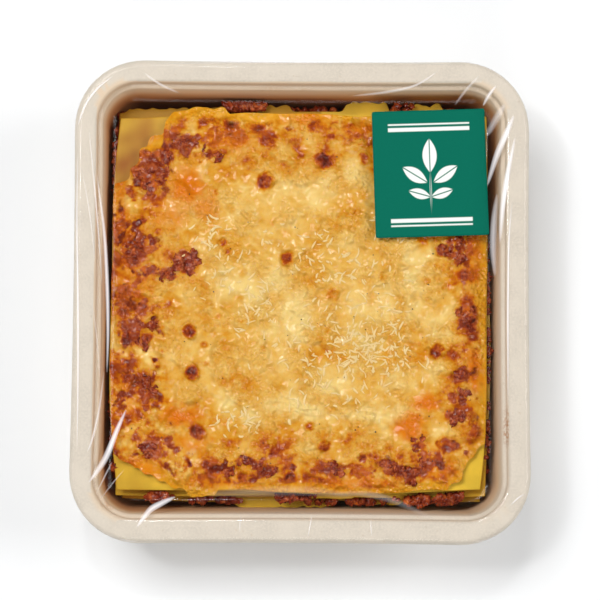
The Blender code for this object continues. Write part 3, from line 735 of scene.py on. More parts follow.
def sauce_material():
    """Minced meat in tomato sauce: wet and coarse, from dark red to paler grains of meat and orange oil."""
    material, add = new_material("minced meat sauce")
    place = add("TexCoord", output="Object")
    coarse, fine, relief = (
        add("TexNoise", {
            "Vector": place, "Scale": 1.0 / (width * MM), "Detail": detail, "Roughness": tooth, "Distortion": twist})
        for width, detail, tooth, twist in ((3.0, 4.0, 0.6, 0.0), (0.9, 3.0, 0.6, 0.0), (2.2, 0.0, 0.4, 0.5)))
    both = add("Math", (add("Math", (coarse, 2.2), **MULTIPLY), add("Math", (fine, 1.2), **MULTIPLY)), **ADD)
    meaty = add("ValToRGB", (add("Math", (both, 1.25), **SUBTRACT),), stops=MEAT_STOPS)
    bump = add("Bump", {"Strength": 1.0, "Distance": 0.5 * MM, "Height": relief})
    shader = add("BsdfPrincipled", {
        "Base Color": meaty, "Normal": bump, "Roughness": 0.09, "Specular IOR Level": 0.32,
        "Subsurface Weight": 0.30, "Subsurface Radius": (1.6, 0.6, 0.3), "Subsurface Scale": 0.6 * MM})
    add("OutputMaterial", (shader,))
    return material


def cheese_material():
    """Melted cheese baked over sauce: wet and glossy, pale where thick, golden where thin, brown where baked."""
    colours, _ = settings()
    material, add = new_material("baked melted cheese")
    place = add("TexCoord", output="Object")
    curd, crumb, fine, lumps, grains, areas, beads = (
        add("TexNoise", {
            "Vector": place, "Scale": 1.0 / (width * MM), "Detail": detail, "Roughness": tooth, "Distortion": twist})
        for width, detail, tooth, twist in (
            (5.5, 4.0, 0.55, 0.3), (1.7, 4.0, 0.6, 0.5), (0.7, 2.0, 0.5, 0.0), (6.0, 1.0, 0.4, 0.0),
            (2.6, 1.0, 0.4, 0.0), (11.0, 1.0, 0.5, 0.0), (1.2, 0.0, 0.5, 0.0)))
    bake, oil, tone, thin, sauce = (
        add("Attribute", output="Fac", attribute_name=name) for name in ("bake", "oil", "tone", "thin", "sauce"))
    # Each noise about its middle, times how far it may shift the colour
    sunk, pitted, curdled, crumbly, mottled, torn = (
        add("Math", (add("Math", (source, 0.5), **SUBTRACT), amount), **MULTIPLY) for source, amount in (
            (lumps, -0.5), (grains, -0.5), (curd, 0.46), (crumb, 0.50), (fine, 0.5), (crumb, 0.8)))

    # Colour: baked more or less, then thin and yellow, oily, covered with meat sauce, and freckled
    unrest = add("Math", (add("Math", (bake, 1.9), **MULTIPLY), 0.05), **ADD)
    # Darker, more golden colour in the hollows of the relief, partly thinner cheese and partly painted shade
    hollow = add("Math", (sunk, pitted), **ADD)
    uneven = add("Math", (hollow, add("Math", (curdled, crumbly), **ADD)), **ADD)
    level = add("Math", (bake, add("Math", (uneven, unrest), **MULTIPLY)), **ADD)
    meat = add("ValToRGB", (add("Math", (tone, mottled), **ADD),), stops=MEAT_STOPS)
    covered = add("MapRange", (add("Math", (sauce, torn), **ADD), 0.30, 0.85), **SMOOTH)
    freckle = add("Math", (
        add("MapRange", (crumb, 0.66, 0.74), **SMOOTH), add("MapRange", (curd, 0.50, 0.60), **SMOOTH)), **MULTIPLY)
    colour = add("ValToRGB", (level,), stops=BAKE_STOPS)
    for share, amount, over in (
        (thin, 0.8, linear("e3a51c")), (oil, 0.95, colours.oil), (covered, 0.88, meat),
        (freckle, 0.6, linear("b26a1e")),
    ):
        colour = add("Mix", {0: add("Math", (share, amount), **MULTIPLY), 6: colour, 7: over}, **COLOURS)

    # Relief: broad lumps, with grains and wet beads where the cheese is rough and free of sauce
    rougher = add("Math", (areas, add("Math", (bake, 0.25), **MULTIPLY)), **ADD)
    bare = add("Math", (add("Math", (1.0, sauce), **SUBTRACT), 0.0), **MAXIMUM)
    rough_here = add("Math", (add("MapRange", (rougher, 0.46, 0.66), **SMOOTH), bare), **MULTIPLY)
    wet = add("Math", (beads, rough_here), **MULTIPLY)
    depth = add("Math", (add("Math", (rough_here, 1.4), **MULTIPLY), 0.4), **ADD)
    busy = add("Math", (grains, depth), **MULTIPLY)
    relief = add("Math", (add("Math", (lumps, 3.4), **MULTIPLY), busy), **ADD)
    finer = add("Math", (relief, add("Math", (wet, 0.9), **MULTIPLY)), **ADD)
    bump = add("Bump", {"Strength": 1.0, "Distance": 1.0 * MM, "Height": finer})
    gloss = add("Math", (add("Math", (sauce, 0.08), **MULTIPLY), 0.28), **ADD)
    shader = add("BsdfPrincipled", {
        "Base Color": colour, "Normal": bump, "Roughness": 0.12, "Specular IOR Level": gloss,
        "Subsurface Weight": 0.55, "Subsurface Radius": (1.3, 1.0, 0.6), "Subsurface Scale": 0.8 * MM})
    add("OutputMaterial", (shader,))
    return material


def shred_material():
    """Grated hard cheese half melted into the top: pale, waxy and slightly clear."""
    material, add = new_material("grated hard cheese")
    cloud = add("TexNoise", {"Vector": add("TexCoord", output="Object"), "Scale": 1.0 / (6.0 * MM), "Detail": 2.0})
    shade = add("Mix", {0: cloud, 6: linear("ecc276"), 7: linear("f8dea8")}, **COLOURS)
    shader = add("BsdfPrincipled", {
        "Base Color": shade, "Roughness": 0.25, "Specular IOR Level": 0.3,
        "Subsurface Weight": 0.25, "Subsurface Radius": (1.0, 0.9, 0.7), "Subsurface Scale": 0.4 * MM})
    add("OutputMaterial", (shader,))
    return material


def herb_material():
    """Dried herbs and cracked pepper: nearly black flakes."""
    material, add = new_material("dried herbs")
    cloud = add("TexNoise", {"Vector": add("TexCoord", output="Object"), "Scale": 1.0 / (2.0 * MM), "Detail": 1.0})
    shade = add("Mix", {0: cloud, 6: linear("1c1409"), 7: linear("4a3a18")}, **COLOURS)
    add("OutputMaterial", (add("BsdfPrincipled", {"Base Color": shade, "Roughness": 0.65}),))
    return material


# The label's design, where its half sides are 1: rules with their height and half width, and leaves with
# their middle, turn in degrees, half length and half width
LABEL_RULES = ((0.78, 0.012), (0.70, 0.030), (-0.74, 0.030), (-0.82, 0.012))
LABEL_RULE_REACH = 0.72
LABEL_LEAVES = (
    (0.0, 0.28, 90, 0.27, 0.125), (-0.27, -0.02, 150, 0.25, 0.105), (0.27, -0.02, 30, 0.25, 0.105),
    (-0.20, -0.32, 165, 0.20, 0.080), (0.20, -0.32, 15, 0.20, 0.080), (0.0, -0.28, 90, 0.33, 0.016),
)
PRINT_SOFTNESS = 0.010
VEIN_WIDTH, VEIN_SOFTNESS = 0.010, 0.006


def label_material():
    """Coated label paper: a flat deep field of colour with two rules and a plain sprig of leaves."""
    colours, _ = settings()
    material, add = new_material("coated label paper")
    parts = add("UVMap", uv_map="print")
    across = add("SeparateXYZ", (parts,))
    along = add("SeparateXYZ", (parts,), 1)

    def inside(value, limit, softness=PRINT_SOFTNESS):
        """1 where the value is under the limit."""
        beyond = add("MapRange", (value, limit - softness, limit + softness), **SMOOTH)
        return add("Math", (1.0, beyond), **SUBTRACT)

    def rule(y, half_width):
        aside = add("Math", (add("Math", (along, y), **SUBTRACT), 0.0), **ABSOLUTE)
        reach = inside(add("Math", (across, 0.0), **ABSOLUTE), LABEL_RULE_REACH)
        return add("Math", (inside(aside, half_width), reach), **MULTIPLY)

    def leaf(x, y, turn, half_length, half_width):
        cosine, sine = math.cos(math.radians(turn)), math.sin(math.radians(turn))
        dx = add("Math", (across, x), **SUBTRACT)
        dy = add("Math", (along, y), **SUBTRACT)
        dx_cosine, dy_sine, dy_cosine, dx_sine = (
            add("Math", pair, **MULTIPLY) for pair in ((dx, cosine), (dy, sine), (dy, cosine), (dx, sine)))
        forward = add("Math", (dx_cosine, dy_sine), **ADD)
        aside = add("Math", (add("Math", (dy_cosine, dx_sine), **SUBTRACT), 0.0), **ABSOLUTE)
        taper = add("Math", (add("Math", (forward, forward), **MULTIPLY), half_width / half_length**2), **MULTIPLY)
        body = inside(add("Math", (aside, taper), **ADD), half_width)
        vein = add("Math", (body, inside(aside, VEIN_WIDTH, VEIN_SOFTNESS)), **MULTIPLY)
        return add("Math", (body, add("Math", (vein, 0.9), **MULTIPLY)), **SUBTRACT)

    printed = 0.0
    for mark in [rule(*row) for row in LABEL_RULES] + [leaf(*row) for row in LABEL_LEAVES]:
        printed = add("Math", (printed, mark), **MAXIMUM)
    place = add("TexCoord", output="Object")
    tooth = add("TexNoise", {"Vector": place, "Scale": 1.0 / (0.7 * MM), "Detail": 3.0})
    colour = tuple(0.93 * part for part in colours.label)
    shares = (add("MapRange", (tooth, 0.2, 0.8), **SMOOTH), printed)
    for share, over in zip(shares, (colours.label, colours.print_tint)):
        colour = add("Mix", {0: share, 6: colour, 7: over}, **COLOURS)
    bump = add("Bump", {"Strength": 0.3, "Distance": 0.02 * MM, "Height": tooth})
    shader = add("BsdfPrincipled", {
        "Base Color": colour, "Normal": bump, "Roughness": 0.7, "Specular IOR Level": 0.08})
    add("OutputMaterial", (shader,))
    return material


def swell(x, y, length, depth):
    """Smooth noise whose swells are about this long, from about -1 to 1."""
    return noise.noise(Vector((x / length, y / length, depth)))


def clouds(x, y, length, depth, octaves, falloff=0.9):
    """Noise with finer and finer swells on it."""
    return noise.fractal(Vector((x / length, y / length, depth)), falloff, 2.1, octaves)


def pebbles(x, y, length, depth):
    """How near a place is to the middle of its pebble, from 0 to 1, and that pebble's own shade."""
    reach, points = noise.voronoi(Vector((x / length, y / length, depth)))
    return max(0.0, 1.0 - (reach[0] / PEBBLE_REACH) ** 2), noise.cell(points[0] * 3.0)


def sheet_top(x, y, layer):
    """Height of the upper face of this sheet."""
    away = abs(x) / TOP_HALF_X + abs(y) / TOP_HALF_Y
    corner = CORNER_DROOP * smooth_step(CORNER_START, CORNER_END, away)
    height = TOP_SHEET_HEIGHT - (SHEET_COUNT - layer) * LAYER_PITCH
    if layer == SHEET_COUNT:
        return height - corner
    wave = LAYER_WAVE * swell(x, y, LAYER_WAVE_LENGTH, LAYER_NOISE * layer)
    return height + wave - LOWER_DROOP_SHARE * corner


def sheet_outline(u, v, layer, inset):
    """Where a grid point lies on a sheet: its sides bulge and waver, its corners stay fairly square."""
    half_x, half_y, bulge, centre_x, centre_y = (value * MM for value in SHEETS[layer])
    waver_x = SHEET_EDGE_WAVE * math.sin(WAVER_ACROSS[0] * v + WAVER_ACROSS[1] * layer + (u > 0))
    waver_y = SHEET_EDGE_WAVE * math.sin(WAVER_ALONG[0] * u + WAVER_ALONG[1] * layer + 2 * (v > 0))
    reach_x = half_x - inset + bulge * (1.0 - v * v) + waver_x
    reach_y = half_y - inset + END_BULGE_SHARE * bulge * (1.0 - u * u) + waver_y
    return centre_x + u * reach_x, centre_y + v * reach_y


def overhang(rows, x, v, start, waver_length, depth):
    """How much further an end reaches in y at the rows of side, left and right pixel and length in mm."""
    reach = 0.0
    for side, left_px, right_px, length in rows:
        left, right = (from_photo(px, PICTURE_SIDE / 2, FOOD_TOP)[0] for px in (left_px, right_px))
        inside = smooth_step(left - OVERHANG_SOFTNESS, left, x) * smooth_step(right + OVERHANG_SOFTNESS, right, x)
        crooked = 1.0 + OVERHANG_WAVER * noise.noise(Vector((x / waver_length, depth, 0.5)))
        reach += side * length * MM * crooked * inside * smooth_step(start, 1.0, side * v)
    return reach


def flap(x, v, layer):
    """How far the sheet's end lies crooked."""
    return overhang(PASTA_FLAPS.get(layer, ()), x, v, FLAP_START, FLAP_WAVER_LENGTH, 2.0 * layer)


def spill(x, v):
    """How far the cheese has run over the sheet's end."""
    return overhang(SPILLS, x, v, SPILL_START, SPILL_WAVER_LENGTH, SPILL_NOISE)


def corner_reach(u, v):
    """The sum that a place on the line across its bare corner makes, and the sum of this place."""
    bare_u, bare_v = BARE_CORNERS[(1 if u > 0 else -1, 1 if v > 0 else -1)]
    return 1.0 - bare_u * bare_v, (1.0 - bare_v) * abs(u) + (1.0 - bare_u) * abs(v)


def topping_outline(u, v):
    """The cheese reaches the sheet's sides but leaves its corners bare."""
    outermost = max(abs(u), abs(v))
    if outermost > 0.0:
        limit, away = corner_reach(u / outermost, v / outermost)
        torn = 1.0 + CORNER_RAGGED * noise.noise(Vector((CORNER_RAGGEDNESS * u, CORNER_RAGGEDNESS * v, CORNER_NOISE)))
        kept = min(1.0, torn * limit / away)
        u, v = u * kept, v * kept
    place = Vector((TOPPING_RAGGEDNESS * u, TOPPING_RAGGEDNESS * v, OUTLINE_NOISE))
    x, y = sheet_outline(u, v, SHEET_COUNT, TOPPING_EDGE_INSET + TOPPING_RAGGED * noise.noise(place))
    return x, y + spill(x, v)


def topping_height(x, y, edge):
    crown = TOPPING_CROWN * (1.0 - (x / TOP_HALF_X) ** 2) * (1.0 - (y / TOP_HALF_Y) ** 2)
    broad = swell(x, y, BROAD_RELIEF_LENGTH, BROAD_NOISE)
    fine = swell(x, y, FINE_RELIEF_LENGTH, FINE_NOISE)
    relief = TOPPING_RELIEF * (BROAD_RELIEF_SHARE * broad + FINE_RELIEF_SHARE * fine)
    full = TOPPING_THICKNESS + crown + relief
    return TOP_SHEET_HEIGHT + LAYER_GAP + full + (TOPPING_EDGE_THICKNESS - full) * edge


class Field:
    """A soft-edged oval on the food, placed by the photograph."""

    def __init__(self, px, py, half_px, half_py, strength, turn=0.0):
        self.x, self.y = from_photo(px, py, FOOD_TOP)
        self.half_x, self.half_y = half_px * PIXEL, half_py * PIXEL
        self.strength = strength
        angle = math.radians(turn)
        self.cosine, self.sine = math.cos(angle), math.sin(angle)

    def share(self, x, y, core=0.55):
        dx, dy = x - self.x, y - self.y
        reach = 1.5 * max(self.half_x, self.half_y)
        if abs(dx) > reach or abs(dy) > reach:
            return 0.0
        along = (dx * self.cosine + dy * self.sine) / self.half_x
        aside = (dy * self.cosine - dx * self.sine) / self.half_y
        return self.strength * (1.0 - smooth_step(core, 1.25, math.hypot(along, aside)))


def strongest(fields, x, y, core=0.55):
    return max(field.share(x, y, core) for field in fields)


def warped(x, y):
    """The place moved by noise, so that fields have ragged outlines."""
    spot = Vector((x / WARP_LENGTH, y / WARP_LENGTH, WARP_NOISE))
    near, finer = noise.noise_vector(spot), noise.noise_vector(spot * FINER_WARP_SCALE)
    return x + WARP_REACH * (near.x + FINER_WARP * finer.x), y + WARP_REACH * (near.y + FINER_WARP * finer.y)


def vertex_attribute(mesh, name, values):
    """Stores one number for each vertex, for the material to read."""
    attribute = mesh.attributes.new(name, "FLOAT", "POINT")
    attribute.data.foreach_set("value", values)


def ball(centre, size, rough, turn, subdivisions=3, roughness=0.32):
    """An uneven pebble as a bmesh."""
    bm = bmesh.new()
    bmesh.ops.create_icosphere(bm, subdivisions=subdivisions, radius=1.0)
    shift = Vector((rough.uniform(0, 50), rough.uniform(0, 50), 0.0))
    for vertex in bm.verts:
        vertex.co *= 1.0 + roughness * BALL_RELIEF * noise.noise(vertex.co * BALL_FINENESS + shift)
    spread = Matrix.Diagonal((*size, 1.0))
    bm.transform(Matrix.Translation(centre) @ Matrix.Rotation(turn, 4, "Z") @ spread)
    return bm


def join(parts):
    """Several bmeshes as one."""
    whole = bmesh.new()
    for part in parts:
        mesh = bpy.data.meshes.new("part")
        part.to_mesh(mesh)
        part.free()
        whole.from_mesh(mesh)
        bpy.data.meshes.remove(mesh)
    return whole


def ground(name):
    """A function that gives a finished piece's height under a place, or None past its edge."""
    thing = bpy.data.objects.get(name)
    if thing is None:
        raise RuntimeError(f"{name} has to be made first")
    tree = BVHTree.FromObject(thing, bpy.context.evaluated_depsgraph_get())

    def height(x, y):
        hit, _, _, _ = tree.ray_cast(Vector((x, y, 2 * RIM_HEIGHT)), Vector((0.0, 0.0, -1.0)))
        return hit.z if hit else None

    return height


class LASAGNE_OT_tray(bpy.types.Operator):
    """Moulds the pulp tray with its rolled lip, stepped rim and stained wall, whose inside darkens on its far and left
    sides and towards the food, partly soaking and partly painted shade
    """

    bl_idname = "lasagne.tray"
    bl_label = "Pulp Tray"

    def execute(self, context):
        bm = loft(tray_profile())
        made = piece(bm, "pulp_tray", pulp_material(), ["tray"])
        fields = []
        for px, py, half_px, half_py in WALL_STAINS:
            x, y = from_photo(px, py, STAIN_HEIGHT)
            fields.append((x, y, STAIN_SPREAD * half_px * PIXEL, STAIN_SPREAD * half_py * PIXEL))
        subdivide = made.modifiers.new("Fine wall", "SUBSURF")
        subdivide.subdivision_type = "SIMPLE"
        subdivide.levels = subdivide.render_levels = 1
        bpy.context.view_layer.objects.active = made
        solidify = made.modifiers.new("Wall", "SOLIDIFY")
        solidify.thickness = TRAY_WALL
        solidify.offset = -1.0
        solidify.use_even_offset = True
        with bpy.context.temp_override(object=made, active_object=made):
            bpy.ops.object.modifier_apply(modifier=subdivide.name)
            bpy.ops.object.modifier_apply(modifier=solidify.name)
        stain = []
        depth = []
        for vertex in made.data.vertices:
            x, y, z = vertex.co
            past = max(abs(x) - HALF_X, abs(y) - HALF_Y) + STEP_INSET
            faces_in = vertex.normal.x * x + vertex.normal.y * y < 0.0
            inner = 1.0 if past < 0.0 and faces_in else 0.0
            reach = [1.0 - smooth_step(0.3, 1.6, math.hypot((x - a) / c, (y - b) / d)) for a, b, c, d in fields]
            stain.append(max(reach) if inner and z > STAIN_FLOOR else 0.0)
            # Painted shade: the far and left walls, which the key light leaves in shade, are darkened most; all of
            # them darken more towards the food, partly soaked and partly painted shade
            side = 0.42 + 0.58 * smooth_step(-0.6, 0.3, (y / HALF_Y - x / HALF_X) / 2)
            depth.append(inner * side * (0.25 + 0.75 * smooth_step(RIM_HEIGHT - SOAK_AND_SHADE_START, 0.6 * RIM_HEIGHT, z)))
        vertex_attribute(made.data, "stain", stain)
        vertex_attribute(made.data, "inner", depth)
        return {"FINISHED"}


class LASAGNE_OT_pasta(bpy.types.Operator):
    """Lays the sheets of pasta whose edges and corners show"""

    bl_idname = "lasagne.pasta"
    bl_label = "Pasta Sheets"

    def execute(self, context):
        material = pasta_material()
        for layer in SHEETS:
            bm = bmesh.new()
            bmesh.ops.create_grid(bm, x_segments=SHEET_CELLS, y_segments=SHEET_CELLS, size=1.0)
            oil = []
            for vertex in bm.verts:
                u, v = vertex.co.x, vertex.co.y
                x, y = sheet_outline(u, v, layer, 0.0)
                height = sheet_top(x, y, layer)
                furthest = HALF_Y - wall_inset(height - SHEET_THICKNESS) - FLAP_CLEARANCE
                reached = y + flap(x, v, layer)
                if abs(reached) > abs(y):
                    y = max(min(reached, max(furthest, y)), min(-furthest, y))
                vertex.co = Vector((x, y, sheet_top(x, y, layer)))
                if layer == SHEET_COUNT:
                    outermost = max(abs(u), abs(v), 0.01)
                    limit, away = corner_reach(u / outermost, v / outermost)
                    ragged = 0.05 * noise.noise(Vector((11.0 * u, 11.0 * v, 2.0)))
                    blotch = 0.85 + 0.45 * clouds(6.0 * u, 6.0 * v, 1.0, 6.0, 2)
                    amount = CORNER_STAINS[(1 if u > 0 else -1, 1 if v > 0 else -1)]
                    outer = smooth_step(0.02, 0.20, outermost * away / limit - 1.0 + ragged)
                    oil.append(amount * blotch * (1.0 - 0.30 * outer))
                else:
                    # Lower sheets: oil stain with painted shade, strongest at the far left
                    oil.append(FAR_LEFT_STAIN_AND_SHADE if v > 0.0 and u < 0.1 else LOWER_STAIN_AND_SHADE)
            bmesh.ops.recalc_face_normals(bm, faces=bm.faces)
            made = piece(bm, f"pasta_layer_{layer}", material, [f"pasta_sheet_{layer}"])
            vertex_attribute(made.data, "oil", oil)
            solidify = made.modifiers.new("Thickness", "SOLIDIFY")
            solidify.thickness = SHEET_THICKNESS
            solidify.offset = -1.0
            bevel = made.modifiers.new("Soft edge", "BEVEL")
            bevel.width = SHEET_EDGE_ROUNDING
            bevel.segments = 2
            bevel.limit_method = "ANGLE"
        for layer in (1, 2):
            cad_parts[f"pasta_sheet_{layer}"].material_slots[0].material = material
        return {"FINISHED"}


class LASAGNE_OT_sauce(bpy.types.Operator):
    """Spreads the meat sauce between the sheets, with lumps that stand out of the sides"""

    bl_idname = "lasagne.sauce"
    bl_label = "Meat Sauce Layers"

    def execute(self, context):
        material = sauce_material()
        for layer in (4, 5):
            bm = bmesh.new()
            bmesh.ops.create_grid(bm, x_segments=SAUCE_CELLS, y_segments=SAUCE_CELLS, size=1.0)
            for item in bmesh.ops.extrude_face_region(bm, geom=bm.faces[:])["geom"]:
                if isinstance(item, bmesh.types.BMVert):
                    item.co.z = 1.0
            sides = [edge for edge in bm.edges if abs(edge.verts[0].co.z - edge.verts[1].co.z) > 0.5]
            bmesh.ops.subdivide_edges(bm, edges=sides, cuts=3)
            for vertex in bm.verts:
                u, v, rise = vertex.co
                ragged = noise.noise(Vector((RAGU_RAGGEDNESS * u, RAGU_RAGGEDNESS * v, RAGU_NOISE * layer)))
                grainy = swell(u, v, 1.0 / RAGU_GRAININESS, 3.0 * rise + layer)
                bulge = (RAGU_BULGE + RAGU_GRAIN * grainy) * math.sin(math.pi * rise)
                x, y = sheet_outline(u, v, layer, RAGU_INSET * (1.0 + ragged) - bulge)
                low = sheet_top(x, y, layer - 1) + LAYER_GAP
                high = sheet_top(x, y, layer) - SHEET_THICKNESS - LAYER_GAP
                vertex.co = Vector((x, y, low + rise * (high - low)))
            bmesh.ops.recalc_face_normals(bm, faces=bm.faces)
            rough = random.Random(RANDOM_SEED + layer)
            parts = [bm]
            middle = TOP_SHEET_HEIGHT - (SHEET_COUNT - layer) * LAYER_PITCH - RAGU_MIDDLE_DROP
            for home, from_px, from_py, to_px, to_py, count in SIDE_HEAPS:
                for _ in range(round(HEAP_SHARE * count) if home == layer else 0):
                    share = min(max(rough.gauss(0.5, HEAP_SPREAD), 0.0), 1.0)
                    px = from_px + (to_px - from_px) * share + rough.uniform(-HEAP_SCATTER, HEAP_SCATTER)
                    py = from_py + (to_py - from_py) * share + rough.uniform(-HEAP_SCATTER, HEAP_SCATTER)
                    height = middle + rough.uniform(*HEAP_HEIGHTS) * MM
                    x, y = from_photo(px, py, height)
                    wide = rough.uniform(0.7, 1.0) * rough.uniform(1.0, 2.6) * MM
                    room = wall_inset(height) + TRAY_GAP + TRAY_WALL + wide
                    x = min(max(x, room - HALF_X + SIDE_BOW), HALF_X - SIDE_BOW - room)
                    y = min(max(y, room - HALF_Y + SIDE_BOW), HALF_Y - SIDE_BOW - room)
                    size = (wide, wide * rough.uniform(0.6, 0.9), wide * rough.uniform(0.5, 0.7))
                    parts.append(ball((x, y, height), size, rough, rough.uniform(0, math.pi)))
            piece(join(parts), f"meat_sauce_{layer}", material, [f"ragu_layer_{layer}"])
        for layer in (1, 2, 3):
            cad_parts[f"ragu_layer_{layer}"].material_slots[0].material = material
        return {"FINISHED"}


class LASAGNE_OT_cheese(bpy.types.Operator):
    """Bakes the cheese topping with its blisters, sauce fields and oily patches"""

    bl_idname = "lasagne.cheese"
    bl_label = "Cheese Topping"

    def execute(self, context):
        noise.seed_set(RANDOM_SEED)
        _, sizes = settings()
        sauces = [Field(*row) for row in SAUCE_FIELDS]
        washes = [Field(*row) for row in SAUCE_WASHES]
        oils = [Field(*row) for row in OIL_FIELDS]
        pales = [Field(*row) for row in PALE_FIELDS]
        clumps = [Field(px, py, 1.1 * r, 0.95 * r, 1.0) for px, py, r in MEAT_LUMPS]
        blisters = [(Field(px, py, 1.15 * r, 1.15 * r, dark), rise * MM) for px, py, r, dark, rise in BLISTERS]
        halos = [Field(px, py, 2.0 * r, 2.0 * r, dark) for px, py, r, dark, _ in BLISTERS]
        bm = bmesh.new()
        bmesh.ops.create_grid(bm, x_segments=sizes.topping_cells, y_segments=sizes.topping_cells, size=1.0)
        shares = {"bake": [], "sauce": [], "oil": [], "tone": [], "thin": []}
        for vertex in bm.verts:
            u, v = vertex.co.x, vertex.co.y
            x, y = topping_outline(u, v)
            edge = smooth_step(EDGE_ROUNDING_START, 1.0, max(abs(u), abs(v)))
            height = topping_height(x, y, edge)
            wx, wy = warped(x, y)
            patchy = smooth_step(-0.10, 0.30, clouds(x, y, WASH_LENGTH, WASH_NOISE, 3, 0.8))
            sauce = max(strongest(sauces, wx, wy, core=0.35), patchy * strongest(washes, wx, wy, core=0.5))
            pale = strongest(pales, wx, wy, core=0.2)
            oil = strongest(oils, wx, wy, core=0.2)
            meat = strongest(clumps, wx, wy, core=0.25)
            brown = rise = 0.0
            for field, tall in blisters:
                near = field.share(0.65 * x + 0.35 * wx, 0.65 * y + 0.35 * wy, core=0.30)
                if near > 0.0:
                    brown = max(brown, near)
                    rise = max(rise, tall * smooth_step(0.25, 1.0, near / field.strength))
            margin = smooth_step(0.55, 1.0, max(abs(x) / TOP_HALF_X, abs(y) / TOP_HALF_Y))
            cloud = clouds(x, y, CLOUD_LENGTH, CLOUD_NOISE, 3)
            curd = clouds(x, y, CURD_LENGTH, CURD_NOISE, 4)
            patch = clouds(x, y, PATCH_LENGTH, PATCH_NOISE, 2)
            lump, tone = pebbles(wx, wy, LUMP_LENGTH, LUMP_NOISE)
            bead, bead_tone = pebbles(wx, wy, BEAD_LENGTH, BEAD_NOISE)

            height += (1.0 - edge) * (CURD_RISE * curd + rise + PALE_RISE * pale)
            height += (1.0 - edge) * sauce * (LUMP_RISE * lump * (0.5 + 0.5 * tone) - SAUCE_SINK)
            height += (1.0 - edge) * meat * (MEAT_RISE + BEAD_RISE * bead)
            droop = SPILL_DROOP * abs(spill(x, v))
            lowest = TOP_SHEET_HEIGHT + LAYER_GAP + TOPPING_FLOOR - droop
            vertex.co = Vector((x, y, min(max(height - droop, lowest), TOPPING_CEILING)))

            chunk = smooth_step(0.05, 0.55, lump)
            thin = THIN_MOST * smooth_step(0.945, 0.985, max(u, abs(v)) + 0.03 * cloud)
            sauce *= 1.0 - thin
            tone += meat * (bead_tone - tone)
            bake = BAKE_MIDDLE + margin * (BAKE_MARGIN + BAKE_MARGIN_PATCHES * patch) + BAKE_CLOUDS * cloud
            bake -= BAKE_PALE * pale
            bake += thin * (BAKE_THIN - bake)
            bake = max(
                bake, BAKE_OIL * oil, BAKE_HALO * strongest(halos, wx, wy, core=0.0), BAKE_BLISTER * brown,
                sauce * (BAKE_SAUCE + BAKE_CHUNK * chunk), BAKE_MEAT * meat)
            shares["bake"].append(bake)
            shares["thin"].append(thin)
            shares["sauce"].append(max(0.85 * sauce * (0.30 + 0.70 * chunk), meat * (0.7 + 0.3 * bead)))
            shares["oil"].append(oil * (1.0 - 0.6 * sauce) * (1.0 - min(1.0, brown)))
            shares["tone"].append(0.5 + 0.5 * tone if abs(tone) <= 1.0 else 0.5)
        rim = [edge for edge in bm.edges if edge.is_boundary]
        for item in bmesh.ops.extrude_edge_only(bm, edges=rim)["geom"]:
            if isinstance(item, bmesh.types.BMVert):
                item.co.z = min(TOP_SHEET_HEIGHT + SKIRT_FOOT, item.co.z - TOPPING_SKIRT)
        extra = len(bm.verts) - len(shares["sauce"])
        bmesh.ops.recalc_face_normals(bm, faces=bm.faces)
        made = piece(bm, "baked_cheese", cheese_material(), ["cheese_topping"])
        for name, values in shares.items():
            vertex_attribute(made.data, name, values + [SKIRT_SHADE] * extra)
        return {"FINISHED"}


class LASAGNE_OT_meat(bpy.types.Operator):
    """Sets whole lumps of minced meat into the topping"""

    bl_idname = "lasagne.meat"
    bl_label = "Meat Lumps"

    def execute(self, context):
        rough = random.Random(RANDOM_SEED)
        height = ground("baked_cheese")
        parts = []
        for px, py, radius in MEAT_LUMPS:
            for _ in range(1 + radius * radius // 22):
                away, angle = 0.75 * radius * math.sqrt(rough.random()), rough.uniform(0, math.tau)
                x, y = from_photo(px + away * math.cos(angle), py + away * math.sin(angle), FOOD_TOP)
                under = height(x, y)
                if under is None:
                    continue
                wide = rough.uniform(0.9, 2.4) * MM
                tall = wide * rough.uniform(0.4, 0.6)
                centre = min(under + rough.uniform(-0.6, -0.2) * tall, TOPPING_CEILING - tall)
                size = (wide, wide * rough.uniform(0.5, 0.85), tall)
                parts.append(ball((x, y, centre), size, rough, rough.uniform(0, math.pi)))
        piece(join(parts), "minced_meat", sauce_material())
        return {"FINISHED"}


class LASAGNE_OT_shreds(bpy.types.Operator):
    """Scatters grated cheese, half melted into the topping"""

    bl_idname = "lasagne.shreds"
    bl_label = "Grated Cheese"

    def execute(self, context):
        rough = random.Random(RANDOM_SEED)
        height = ground("baked_cheese")
        parts = []
        crusts = [Field(px, py, r, r, dark) for px, py, r, dark, _ in BLISTERS]
        for px, py, half_px, half_py, count in SHRED_FIELDS:
            for _ in range(count):
                x, y = from_photo(px + half_px * rough.gauss(0, 0.5), py + half_py * rough.gauss(0, 0.5), FOOD_TOP)
                under = height(x, y)
                if under is None or strongest(crusts, x, y) > 0.0:
                    continue
                bm = bmesh.new()
                bmesh.ops.create_cone(bm, cap_ends=True, segments=6, radius1=1.0, radius2=0.8, depth=2.0)
                long = rough.uniform(0.6, 1.0) * rough.uniform(1.0, 3.0) * MM
                thick = rough.uniform(0.28, 0.60) * MM
                bend = rough.uniform(-0.35, 0.35)
                long_edges = [e for e in bm.edges if abs(e.verts[0].co.z - e.verts[1].co.z) > 1.0]
                bmesh.ops.subdivide_edges(bm, edges=long_edges, cuts=3)
                for vertex in bm.verts:
                    share = vertex.co.z
                    round_end = math.sqrt(max(0.08, 1.0 - share**4))
                    side, up = vertex.co.x * round_end * thick, vertex.co.y * round_end * 0.6 * thick
                    vertex.co = Vector((share * long, side + bend * long * share * share, up))
                centre = min(under - rough.uniform(0.0, 0.25) * thick, TOPPING_CEILING - thick)
                turn = Matrix.Rotation(rough.uniform(0, math.pi), 4, "Z")
                bm.transform(Matrix.Translation((x, y, centre)) @ turn)
                parts.append(bm)
        piece(join(parts), "grated_cheese", shred_material())
        return {"FINISHED"}


